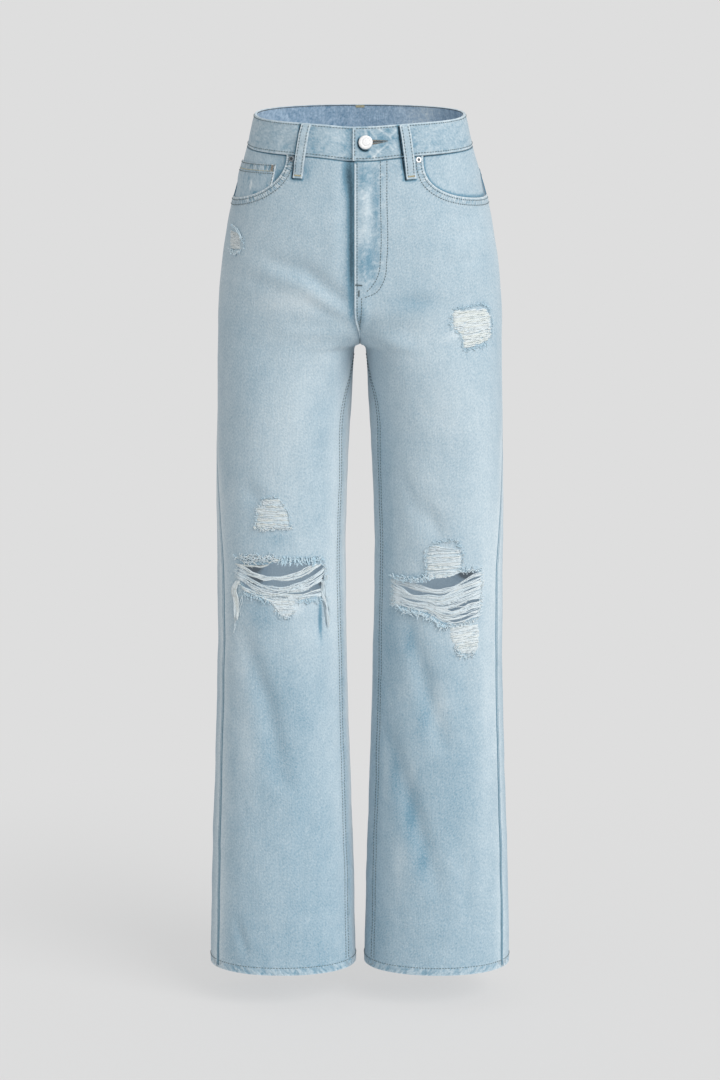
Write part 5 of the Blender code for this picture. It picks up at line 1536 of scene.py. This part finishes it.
def band_of_threads(chance, upper, lower, count, fluff=0, parted=0, tone=(0.15, 0.5), slits=(),
                    under=0, slack=0.8):
    """Strands of three loose threads that sag across a hole, with `under` more behind them.

    They fill the hole from the upper to the lower curve. A slit is half its height and a curve at
    which they part, `parted` small gaps are spread among them and `fluff` short ends lie on them.
    """
    share = np.linspace(0, 1, SAG_POINTS)
    groups = []
    for layer, strand_count in ((0, count), (1, under)):
        if not strand_count:
            continue
        t = (np.arange(strand_count) + 0.5 + 0.5 * layer) / (strand_count + 0.5 * layer)
        t = np.repeat(t, 3) + np.tile((-STRAND_SPREAD, 0, STRAND_SPREAD), strand_count) / strand_count
        spots = (along_curve(upper, share)[None] * (1 - t[:, None, None])
                 + along_curve(lower, share)[None] * t[:, None, None])
        threads = 3 * strand_count
        waves = wander(chance, strand_count, SAG_POINTS, 7, slack * MM)
        spots[..., 1] += np.repeat(waves, 3, axis=0)
        spots[..., 1] += wander(chance, threads, SAG_POINTS, 11, 0.45 * slack * MM)
        for _ in range(parted if layer == 0 else 0):
            apart = spots - spots[chance.integers(0, threads), chance.integers(3, 23)] - (0, 0.0003)
            across, down = PARTED_REACH
            near = np.exp(-(apart[..., 0] / across) ** 2 - (apart[..., 1] / down) ** 2)
            spots[..., 1] += PARTED * near * np.where(apart[..., 1] < 0, -1, 1)
        for slit in slits:
            path = along_curve(slit[1:], np.linspace(0, 1, 12))
            flat = spots.reshape(-1, 2)
            apart = flat[:, None] - path[None]
            gap = np.hypot(apart[..., 0] * 0.35, apart[..., 1])
            k = np.arange(len(flat))
            best = gap.argmin(1)
            beyond = np.hypot(*apart[k, best].T)
            near = np.exp(-(beyond / SLIT_REACH) ** 2).reshape(threads, SAG_POINTS)
            over = apart[k, best, 1].reshape(threads, SAG_POINTS)
            way = np.where((over * near).sum(1, keepdims=True) < 0, -1, 1)
            spots[..., 1] += slit[0] * MM * near * way
        for end, before, last in ((spots[:, :1], spots[:, 1:2], 0), (spots[:, -1:], spots[:, -2:-1], 1)):
            on = (end - before) / np.linalg.norm(end - before, axis=2, keepdims=True)
            on = on * chance.uniform(*RUN_ON, (threads, 1, 1))
            beyond = end + on * np.array((0.35, 1.0))[:, None]
            spots = np.concatenate([spots, beyond] if last else [beyond[:, ::-1], spots], 1)
        lifts = np.full(spots.shape[:2], -0.0003 - 0.0014 * layer)
        lifts += np.repeat(wander(chance, strand_count, 30, 6, 0.0005), 3, axis=0)
        lifts += np.tile((-0.0002, 0.0002, -0.0002), strand_count)[:, None]
        lifts[:, 1:4] = lifts[:, -4:-1] = 0.0010 - 0.0006 * layer
        lifts[:, 0] = lifts[:, -1] = -0.0005
        radius = THREAD * chance.uniform(0.75, 1.25, threads)
        groups.append((spots, lifts, radius, chance.uniform(*tone, threads)))
        if fluff and layer == 0:
            thread, at = chance.integers(0, threads, fluff), chance.integers(2, 26, fluff)
            base, way = spots[thread, at], spots[thread, at + 1] - spots[thread, at]
            angle = np.arctan2(way[:, 1], way[:, 0]) + chance.normal(0, 0.5, fluff)
            bend = chance.normal(0, 0.8, fluff)
            run = chance.uniform(*FLUFF_LONG, fluff)[:, None] * MM * np.linspace(-0.5, 0.5, 7)
            turn = angle[:, None] + bend[:, None] * np.linspace(-1, 1, 7)
            curl = base[:, None] + np.stack([run * np.cos(turn), run * np.sin(turn)], 2)
            lift = 0.0006 + np.abs(wander(chance, fluff, 7, 2, 0.0004))
            groups.append((curl, lift, np.full(fluff, FLUFF_RADIUS), chance.uniform(*tone, fluff)))
    return groups


def patch_threads(chance, outline, pitch, gaps=(), slope=0.0, tone=(0.1, 0.4), loose=1.5):
    """Bare weft threads side by side within an outline in millimetres, sloping as they run."""
    outline = np.array(outline, float)
    middle = outline.mean(0)
    turned = outline - middle
    turned[:, 1] += slope * turned[:, 0]
    groups = []
    for level in np.arange(turned[:, 1].min() + pitch / 2, turned[:, 1].max(), pitch):
        level += chance.uniform(-0.22, 0.22) * pitch
        if any(abs(level + middle[1] - gap) < pitch * 0.55 for gap in gaps):
            continue
        a, b = turned, np.roll(turned, -1, axis=0)
        hit = (a[:, 1] > level) != (b[:, 1] > level)
        if hit.sum() < 2:
            continue
        across = np.sort((a[:, 0] + (level - a[:, 1]) * (b[:, 0] - a[:, 0])
                          / np.where(hit, b[:, 1] - a[:, 1], 1))[hit])
        start = across[0] - chance.uniform(-0.6, loose)
        end = across[-1] + chance.uniform(-0.6, loose)
        if end - start < 3:
            continue
        parts = [(start, end)]
        if end - start > 12 and chance.uniform() < 0.45:
            broken = chance.uniform(start + 4, end - 4)
            parts = [(start, broken - 0.5), (broken + 0.7, end)]
        for first, last in parts:
            share = np.linspace(first, last, 12)
            spots = np.stack([share + middle[0], level - slope * share + middle[1]], 1)[None] * MM
            spots[..., 1] += wander(chance, 1, 12, 5, 0.00030)
            lifts = 0.00042 + np.abs(wander(chance, 1, 12, 5, 0.00016))
            lifts[:, [0, -1]] = -0.0003
            radius = pitch * MM * 0.66 * chance.uniform(0.85, 1.15)
            groups.append((spots, lifts, np.array([radius]), chance.uniform(*tone, 1)))
    return groups


def fringe(chance, spots, count, long, way=(0.0, 1.0), spread=0.5, tone=(0.2, 0.7), curl=0.5,
           radius=0.00034, lift=0.0006):
    """Loose curled thread ends along a curve in millimetres; way is (across, down)."""
    share = (np.arange(count) + 0.5 + chance.uniform(-0.35, 0.35, count)) / count
    bases = along_curve(spots, share)
    bases += chance.normal(0, 0.00045, bases.shape)
    angle = math.atan2(way[1], way[0]) + chance.normal(0, spread, count)
    length = long * MM * chance.uniform(0.55, 1.15, count)
    bend = chance.normal(0, curl, count)
    share = np.linspace(0, 1, 9)
    turn = angle[:, None] + bend[:, None] * share * 2.2
    step = length[:, None] / 8
    dx = np.cumsum(np.cos(turn) * step, axis=1) - np.cos(turn[:, :1]) * step
    dl = np.cumsum(np.sin(turn) * step, axis=1) - np.sin(turn[:, :1]) * step
    found = bases[:, None] + np.stack([dx, dl], 2)
    lifts = lift + np.abs(wander(chance, count, 9, 3, 0.0006)) + 0.0006 * share
    lifts[:, 0] = -0.0004
    return [(found, lifts, radius * chance.uniform(0.7, 1.2, count), chance.uniform(*tone, count))]


def bundle(chance, spots, count, wide, tone=(0.2, 0.45), radius=0.0005, long=(0.8, 1.0)):
    """Threads that hang down together on the cloth along a path in millimetres."""
    groups = []
    for number in range(count):
        shift = (number / max(1, count - 1) - 0.5) * wide * MM
        path = along_curve(spots, np.linspace(0, chance.uniform(*long), 20))[None]
        path[..., 0] += shift * np.interp(np.linspace(0, 1, 20), (0, 0.3, 1), (0.6, 1, 0.7))
        path += wander(chance, 1, 20, 6, 0.00035)[..., None]
        lifts = 0.0013 + np.abs(wander(chance, 1, 20, 5, 0.0007))
        lifts[:, 0] = -0.001
        groups.append((path, lifts, np.array([radius]), chance.uniform(*tone, 1)))
    return groups


KNEE_TONE = (0.10, 0.55)
# The pieces of thread and what each is laid of, in the order of the random draws, with places in
# millimetres: what lays the threads, and what it is given.
LAID = (
    ("knee_threads_right", RIGHT, (
        # the hole, filled from its upper edge to its lower one
        (band_of_threads, ((145, 542), (138, 545.8), (132.7, 549), (126, 551), (118, 552.8),
         (102, 553.6), (89.9, 553), (79.4, 551.8), (71.6, 548.4), (62.5, 542.5), (57, 540)),
         ((146, 551.5), (136.8, 553.6), (124.2, 555.4), (116.2, 558.2), (105.7, 559.3), (95.2, 559.9),
         (84.7, 558.8), (74.3, 556.4), (66.4, 554), (58, 549.5), (50, 544.5)), 3, 44, 12, KNEE_TONE),
        (band_of_threads, ((147, 552.5), (133.5, 558.2), (125.5, 561), (118.9, 563.2), (108.4, 565),
         (100.5, 566.2), (90, 565), (79.5, 563), (69, 560.6), (60, 556.5), (52, 552.5), (46, 546)),
         ((146, 560.5), (143, 561.5), (132.3, 569), (124.3, 573), (112.4, 575.9), (104.5, 577),
         (90, 575.6), (79.6, 574.5), (69.1, 572.9), (56, 567.2), (49.5, 564.5)), 5, 90, 26, KNEE_TONE,
         ((0.6, (112, 571), (100, 572.5), (84, 571)), (0.6, (137, 560), (128, 564), (118, 567.5)))),
        (band_of_threads, ((141, 569), (132, 572), (124.3, 574.6), (112.4, 577.2), (104.5, 578.4),
         (90, 577.2), (79.6, 576.6), (71.7, 576.4), (58.7, 574.1), (48.2, 571.3)), ((139, 572.5),
         (131, 576), (120, 580), (108, 584), (95, 584.5), (80, 584), (65, 582.5), (48, 579.5)), 4, 60,
         14, KNEE_TONE),
        (band_of_threads, ((144.1, 538.8), (128, 540.6), (112, 538.8), (100.3, 532)), ((144.1, 541.4),
         (128, 543.4), (112, 541.4), (100.3, 534.9)), 1, 8, 0, (0.0, 0.2)),
        # loose ends round it
        (fringe, ((153, 533), (140, 531.5), (120, 530), (99, 531)), 56, 6.0, (0.25, -0.3), 1.5,
         (0.2, 0.8), 1.2, 0.00042),
        (fringe, ((146, 531), (132, 531.5), (118, 530.5), (106, 529)), 24, 8, (-1, -0.12), 0.3,
         (0.1, 0.8), 0.4, 0.00044),
        (fringe, ((146, 533.5), (132, 534.0), (118, 533.0), (106, 531.5)), 24, 8, (-1, -0.12), 0.3,
         (0.1, 0.8), 0.4, 0.00044),
        (fringe, ((146, 536), (132, 536.5), (118, 535.5), (106, 534)), 24, 8, (-1, -0.12), 0.3,
         (0.1, 0.8), 0.4, 0.00044),
        (fringe, ((98, 529.5), (80, 529.5), (62, 530.5), (46, 530)), 32, 11, (-0.12, 1), 0.2,
         (0.6, 1.0), 0.25, 0.00066, 0.0014),
        (fringe, ((96, 532.5), (80, 532.5), (62, 532.5), (47, 532)), 24, 7, (-0.12, 1), 0.35,
         (0.5, 1.0), 0.4, 0.00055, 0.0012),
        (fringe, ((142, 574), (131, 576.5), (120.4, 579), (108.5, 582)), 44, 8, (0.15, 1), 0.6,
         (0.5, 1.0), 0.8, 0.00048),
        (fringe, ((74, 583.6), (60, 583), (46.9, 582)), 28, 6.5, (0.1, 1), 0.6, (0.5, 1.0), 0.8,
         0.00046),
        (fringe, ((148, 545), (148.5, 555), (144, 566)), 18, 4, (0.9, 0.5), 0.8, (0.1, 0.6), 0.8),
        (fringe, ((45, 541), (43.5, 556), (45.5, 574)), 26, 4, (-0.9, 0.5), 0.8, (0.1, 0.6), 0.8),
        # the bare patch below it, and threads that hang at its sides
        (patch_threads, ((107.1, 579), (90, 580), (74, 577), (78.3, 584.6), (79.6, 592.6),
         (84.9, 601.9), (90.2, 604.5), (95.4, 601.7), (100.6, 595), (105.9, 588.4)), 1.0, (), 0.05,
         (0.15, 0.45)),
        (fringe, ((102, 594), (95, 602), (90, 604), (84, 601), (80, 594)), 34, 5, (0, 1), 0.9,
         (0.1, 0.8), 1.0),
        (bundle, ((147, 560.2), (152.6, 573.1), (150, 586.2), (149.4, 598.3), (150.2, 612.0)), 11, 6.2,
         (0.0, 0.35), 0.0008, (0.9, 1.0)),
        (bundle, ((150, 604), (151, 614), (154.9, 633.3)), 2, 0.8, (0.2, 0.45), 0.0003),
        (bundle, ((46.2, 560.4), (45, 576.7), (41.7, 592), (39.8, 608.5), (39.5, 622)), 9, 5.4,
         (0.2, 0.6), 0.00066, (0.85, 1.0)),
        (bundle, ((141, 578), (144, 588), (146.5, 598), (145, 606)), 2, 2.0, (0.2, 0.45), 0.0003),
        # the bare patch above it
        (patch_threads, ((117.5, 459.4), (97.2, 458.1), (94.6, 466.7), (89.4, 470.7), (86.9, 480.1),
         (85.6, 488.1), (84.4, 492.8), (94.8, 492), (105.3, 493.4), (113.1, 495), (121, 493.8),
         (125.6, 491.3), (123.6, 480.6), (125.5, 471.6), (117.6, 467.3)), 0.95, (467, 477.5), 0.02,
         (0.0, 0.6)),
        (fringe, ((126, 493), (115, 495.5), (104, 494), (92, 493.5), (84, 493.5)), 62, 4.2, (0, 1), 0.9,
         (0.0, 0.5), 1.1, 0.0004),
        (fringe, ((118, 459), (108, 457.5), (97, 457.5)), 24, 3.6, (0, -1), 0.8, (0.4, 1.0), 0.8),
        (fringe, ((118, 461), (124, 472), (123.6, 481), (126, 491)), 26, 3.2, (1, 0), 0.8, (0.2, 0.9),
         0.8),
        (fringe, ((96, 460), (89, 471), (85.6, 484), (84, 492)), 26, 3.2, (-1, 0), 0.8, (0.2, 0.9),
         0.8),
    )),
    ("knee_threads_left", LEFT, (
        # the hole, filled from its upper edge to its lower one
        (band_of_threads, ((44, 560.5), (54.5, 562), (63.2, 564.5), (73.6, 566), (85.4, 568.9),
         (95.9, 570), (103.8, 568), (115.6, 564.9), (120.9, 561.3), (130.2, 556), (141.5, 551),
         (145, 551)), ((44, 566), (50.2, 568.0), (58, 569.0), (69.8, 572.3), (82.8, 574.2),
         (93.3, 575.4), (109.1, 571.8), (118, 569), (128, 566), (138, 563), (145, 560)), 3, 24),
        (band_of_threads, ((44, 567.0), (52.8, 570.4), (58, 573.6), (69.8, 577.0), (82.8, 577.0),
         (93.3, 577.4), (109.1, 571.0), (118, 566.5), (128, 562.5), (145, 556.0)), ((43.5, 590),
         (54, 594.5), (70, 597), (80.3, 599.5), (87, 603), (98.8, 610.5), (109.3, 613.5),
         (122.6, 611.5), (142.7, 606)), 19, 120, 46, (0.15, 0.5), ((1.7, (50, 582.4), (58, 583.4),
         (69.8, 584.6)), (1.2, (77.6, 585.8), (80, 587.5), (83.6, 589.7)), (1.0, (55, 590.2),
         (60, 591.6), (63, 592.3)), (1.2, (63.3, 592.7), (72, 593.5), (80.3, 594.5)),
         (3.0, (111.9, 595.8), (118, 594), (125.1, 590.3), (133, 586), (141.8, 584.3)),
         (2.2, (112, 610.0), (125.2, 607.1), (135.9, 603.2)), (0.7, (128.3, 577), (132, 575.6),
         (135.7, 574.3)), (0.8, (130.5, 598.7), (134, 597.2), (137.2, 595.9)), (0.6, (92, 590),
         (98, 589), (104, 587)), (0.6, (100, 601), (106, 600), (113, 598))), 3, 0.9),
        # loose ends round it
        (fringe, ((41, 559.5), (51.4, 560.4), (65.8, 559.5), (82.7, 557)), 52, 7.5, (-0.25, -1), 0.4,
         (0.4, 0.9), 0.9, 0.00062, 0.001),
        (fringe, ((44, 557.5), (51.4, 559.4), (65.8, 559), (82.7, 557)), 30, 4.5, (0.1, 1), 0.5,
         (0.4, 1.0), 0.8, 0.0005, 0.001),
        (fringe, ((120, 547), (132, 546), (145, 547)), 36, 5.5, (0.1, 0.3), 1.3, (0.3, 0.8), 1.0,
         0.00046),
        (fringe, ((43, 590), (54, 595), (70, 597.5), (80.3, 600), (87, 604), (98.8, 611.5),
         (109.3, 614.5)), 84, 8.5, (-0.45, 1), 0.35, (0.4, 0.9), 1.0, 0.00066, 0.001),
        (fringe, ((110, 614), (122.6, 612.5), (142.7, 607)), 40, 4.0, (0.1, 1), 0.8, (0.1, 0.7), 0.9,
         0.0004),
        (fringe, ((43, 562), (42, 575), (43, 590)), 30, 4.2, (-1, 0.2), 0.8, (0.2, 0.8), 0.9),
        (fringe, ((146, 551), (146.5, 570), (145, 590), (144, 606)), 46, 3.6, (1, 0.2), 0.9, (0.1, 0.7),
         0.9),
        # the bare patch above it
        (patch_threads, ((86.4, 514.1), (98.2, 518), (120.6, 520.3), (122.6, 529.8), (122.1, 541.8),
         (121, 549), (114.2, 552.2), (103.7, 554.7), (93.2, 556), (82.7, 556.9), (81.4, 546.8),
         (80.7, 534.8), (81.3, 522.8)), 1.05, (521.5, 527.0, 545.8), 0.05, (0.1, 0.5)),
        (fringe, ((84, 516), (98, 512), (118, 512), (122, 519)), 54, 5.0, (0, -1), 1.0, (0.5, 1.0), 0.9,
         0.0004),
        (fringe, ((80.5, 519), (80, 535), (80.6, 552)), 30, 3.2, (-1, 0), 0.9, (0.3, 0.9), 0.9),
        (fringe, ((122.5, 521), (123.5, 532), (122.5, 545)), 24, 3.2, (1, 0), 0.9, (0.3, 0.9), 0.9),
        # the bare patch below it
        (patch_threads, ((109.4, 616.5), (144.2, 614.5), (145.3, 628), (143.7, 645), (140.7, 650.4),
         (121.5, 650.3), (114.8, 638.3), (109.4, 628.7)), 1.0, (), 0.08, (0.1, 0.3), 0.8),
        (fringe, ((142, 650), (132, 652), (121, 650), (116, 641)), 44, 6.0, (-0.1, 1), 0.8, (0.2, 0.9),
         1.0, 0.0004),
    )),
    ("hip_threads_right", RIGHT, (
        (patch_threads, ((143, 139), (155, 137), (156, 158), (142, 158)), 0.8, (), 0.03, (0.12, 0.28),
         0.5),
        (bundle, ((153, 129), (147, 133.5), (142, 140), (139.5, 149)), 5, 2.6, (0.3, 0.9)),
        (fringe, ((140, 142), (139, 150), (139.5, 157)), 14, 4, (-1, 0.5), 0.5, (0.3, 0.9), 0.6),
        (fringe, ((141, 158), (148, 160), (154, 158.5)), 22, 7, (0.1, 1), 0.4, (0.3, 0.9), 0.6, 0.0005),
    )),
    ("hip_threads_left", LEFT, (
        (patch_threads, ((112.4, 231.8), (149.6, 230.2), (156.4, 240), (156.6, 263.3), (152.9, 269.2),
         (131.5, 275.9), (123.8, 276.8), (121, 260.9), (110.5, 251.7), (109.7, 235.9)), 1.1, (), 0.1,
         (0.0, 0.3), 0.9),
        (fringe, ((112, 230), (130, 228), (149, 227.5), (156, 237)), 60, 4.4, (0.1, -1), 0.9,
         (0.7, 1.0), 0.9, 0.00036),
        (fringe, ((124, 278), (134, 277), (152, 271.5)), 44, 4.6, (0, 1), 0.9, (0.7, 1.0), 0.9,
         0.00036),
        (fringe, ((109, 236), (109.5, 252), (120, 262), (123, 276)), 30, 3.4, (-1, 0.2), 0.9,
         (0.6, 1.0), 0.9),
        (fringe, ((157, 240), (158, 252), (156, 266)), 20, 3.2, (1, 0), 0.9, (0.6, 1.0), 0.9),
    )),
)
chance = np.random.default_rng(5)
for name, side, rows in LAID:
    strands(name, side, [group for lay, *given in rows for group in lay(chance, *given)])


# ---------------------------------------------------------------------------------------------
# Button and rivets. A bright nickel shank button, pressed with a dished face and a ring, through
# the buttonhole, and a small nickel rivet with a sunk centre at each pocket mouth.
# ---------------------------------------------------------------------------------------------
SHANK_RADIUS = 0.0022
BUTTON_PROFILE = ((0, 0.0003), (SHANK_RADIUS, 0.0003), (SHANK_RADIUS, 0.0036), (0.0072, 0.0038),
                  (0.0080, 0.0042), (0.0083, 0.0050), (0.0082, 0.0056), (0.0076, 0.0061),
                  (0.0070, 0.0062), (0.0054, 0.0062), (0.0047, 0.0062), (0.0044, 0.00605),
                  (0.0041, 0.0062), (0.0028, 0.00625), (0.0016, 0.00625), (0, 0.00625))
RIVET_PROFILE = ((0, 0.0003), (0.0036, 0.0003), (0.0037, 0.0008), (0.0033, 0.0014),
                 (0.0026, 0.0017), (0.0018, 0.0015), (0.0014, 0.0008), (0.0008, 0.0007), (0, 0.0007))
RIVET_HOLLOW = 0.0016         # radius of a rivet's sunk centre, which stays dark
RIVETS = {
    "rivet_right": (RIGHT, 0.0802, 0.0424),
    "rivet_left": (LEFT, 0.0685, 0.0428),
}


def pressed_metal(name, bright, dull, rough):
    """Nickel-plated steel, pressed and tumbled: bright, with fine dull scuffs."""
    made, tree, shader = new_material(name)
    spot = add(tree, "TexCoord", out="Object")
    scuff = add(tree, "TexNoise", {"Vector": spot, "Scale": 900.0, "Detail": 4.0})
    worn = add(tree, "MapRange", {0: scuff, 1: 0.42, 2: 0.62})
    mixed = add(tree, "Mix", {0: worn, 6: linear(bright), 7: linear(dull)}, data_type="RGBA")
    rougher = add(tree, "MapRange", {0: scuff, 1: 0.3, 2: 0.7, 3: rough, 4: rough + 0.18})
    feed(shader, {"Base Color": mixed, "Roughness": rougher, "Metallic": 1.0})
    return made


def turned(name, profile, centre, axis, finishes, steps, hollow=0.0):
    """A solid turned from (radius, height) pairs; its top within `hollow` has the second finish."""
    axis = unit(axis)
    over = unit(np.cross(axis, (0, 0, 1.0)))
    up = np.cross(over, axis)
    turn = np.arange(steps) * 2 * math.pi / steps
    ring = over * np.cos(turn)[:, None] + up * np.sin(turn)[:, None]
    points = [centre + axis * profile[0][1], centre + axis * profile[-1][1]]
    for radius, height in profile[1:-1]:
        points += list(centre + axis * height + ring * radius)
    faces, which = [], []
    last = 2 + (len(profile) - 3) * steps
    for k in range(steps):
        n = (k + 1) % steps
        faces += [(0, 2 + n, 2 + k), (1, last + k, last + n)]
        which += [0, int(hollow > 0)]
        for number, low in enumerate(range(2, last, steps)):
            faces.append((low + k, low + n, low + steps + n, low + steps + k))
            which.append(int(number > 1 and profile[number + 2][0] < hollow))
    piece = mesh_piece("turned_" + name, points, faces, finishes, which=which)
    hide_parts(name)


nickel = pressed_metal("bright_nickel", "#FAFAFA", "#E9E9EA", 0.50)
aged_nickel = pressed_metal("aged_nickel", "#A3ACB3", "#6C757B", 0.40)
tarnish = pressed_metal("tarnished_hollow", "#5F676D", "#434B51", 0.45)
under = np.array([(-BUTTON_X, BUTTON_LEVEL)])
lift = BAND_PROUD - BAND_SUNK
centre = on_cloth(RIGHT, FRONT, under, lift)[0]
axis = on_cloth(RIGHT, FRONT, under, lift + 0.01)[0] - centre
turned("button", BUTTON_PROFILE, centre, axis, [nickel], 48)
for name, (side, x, level) in RIVETS.items():
    place = places_at(side, FRONT, [(x, level)])
    centre = on_cloth(side, FRONT, place)[0]
    axis = on_cloth(side, FRONT, place, 0.01)[0] - centre
    ring = nickel if side == LEFT else aged_nickel
    turned(name, RIVET_PROFILE, centre, axis, [ring, tarnish], 28, RIVET_HOLLOW)


# ---------------------------------------------------------------------------------------------
# The studio: a pale plain sweep, an even sky of soft light, one wide soft lamp from the front on
# the wearer's left, and the camera level with the waist, looking down at the knees.
# ---------------------------------------------------------------------------------------------
BACKGROUND, FLOOR_WHITE = "#DEDEDE", "#E4E4E4"
CAMERA_AWAY, CAMERA_PITCH, CAMERA_LENS = 3.2, 80.74, 130.95
FLOOR_LEVEL = -1.105
SKY, KEY, KEY_TURN, KEY_HEIGHT, KEY_ANGLE = 0.56, 1.95, 44, 34, 40
FLOOR_HALF = 6.0
FLOOR_FADES, FLOOR_SHARE = (1.15, 1.6), (0.72, 1.0)   # distances from the jeans, shares of white


def seen_rays(tree):
    """1 for the rays that show a thing to the camera, straight or by way of something shiny."""
    rays = add(tree, "LightPath").node.outputs
    seen = add(tree, "Math", {0: rays["Is Camera Ray"], 1: rays["Is Glossy Ray"]},
               operation="MAXIMUM")
    return add(tree, "Math", {0: seen, 1: rays["Is Transmission Ray"]}, operation="MAXIMUM")


world = bpy.data.worlds.new("studio_sky")
bpy.context.scene.world = world
world.use_nodes = True
tree = world.node_tree
shader = tree.nodes["Background"]
shown = add(tree, "Background", {"Color": linear(BACKGROUND), "Strength": 1.0})
feed(shader, {"Color": linear("#FFFFFF"), "Strength": SKY})
mixed = add(tree, "MixShader", {0: seen_rays(tree), 1: shader.outputs[0], 2: shown})
feed(tree.nodes["World Output"], {"Surface": mixed})

mesh = bpy.data.meshes.new("floor")
corners = [(x * FLOOR_HALF, y * FLOOR_HALF, FLOOR_LEVEL) for x, y in ((-1, -1), (1, -1), (1, 1), (-1, 1))]
mesh.from_pydata(corners, [], [(0, 1, 2, 3)])
floor = bpy.data.objects.new("floor", mesh)
bpy.context.collection.objects.link(floor)
made, tree, shader = new_material("matt_paper_sweep")
feed(shader, {"Base Color": linear(FLOOR_WHITE), "Roughness": 1.0, "Specular IOR Level": 0.0})
spot = add(tree, "NewGeometry", out="Position")
away = add(tree, "VectorMath", {0: spot}, out="Value", operation="LENGTH")
away = add(tree, "MapRange", {0: away, **dict(enumerate((*FLOOR_FADES, *FLOOR_SHARE), 1))})
away = add(tree, "Math", {0: away, 1: seen_rays(tree)}, operation="MULTIPLY")
flat_white = add(tree, "Emission", {"Color": linear(BACKGROUND), "Strength": 1.0})
mixed = add(tree, "MixShader", {0: away, 1: shader.outputs[0], 2: flat_white})
feed(tree.nodes["Material Output"], {"Surface": mixed})
mesh.materials.append(made)

lamp = bpy.data.lights.new("key", "SUN")
lamp.energy = KEY
lamp.angle = math.radians(KEY_ANGLE)
key = bpy.data.objects.new("key", lamp)
key.rotation_euler = (math.radians(90 - KEY_HEIGHT), 0, math.radians(KEY_TURN))
bpy.context.collection.objects.link(key)

lens = bpy.data.cameras.new("camera")
lens.sensor_fit = "HORIZONTAL"
lens.sensor_width = 36
lens.lens = CAMERA_LENS
camera = bpy.data.objects.new("camera", lens)
camera.location = (0, -CAMERA_AWAY, 0)
camera.rotation_euler = (math.radians(CAMERA_PITCH), 0, 0)
bpy.context.collection.objects.link(camera)
bpy.context.scene.camera = camera
bpy.context.scene.view_settings.view_transform = "Standard"
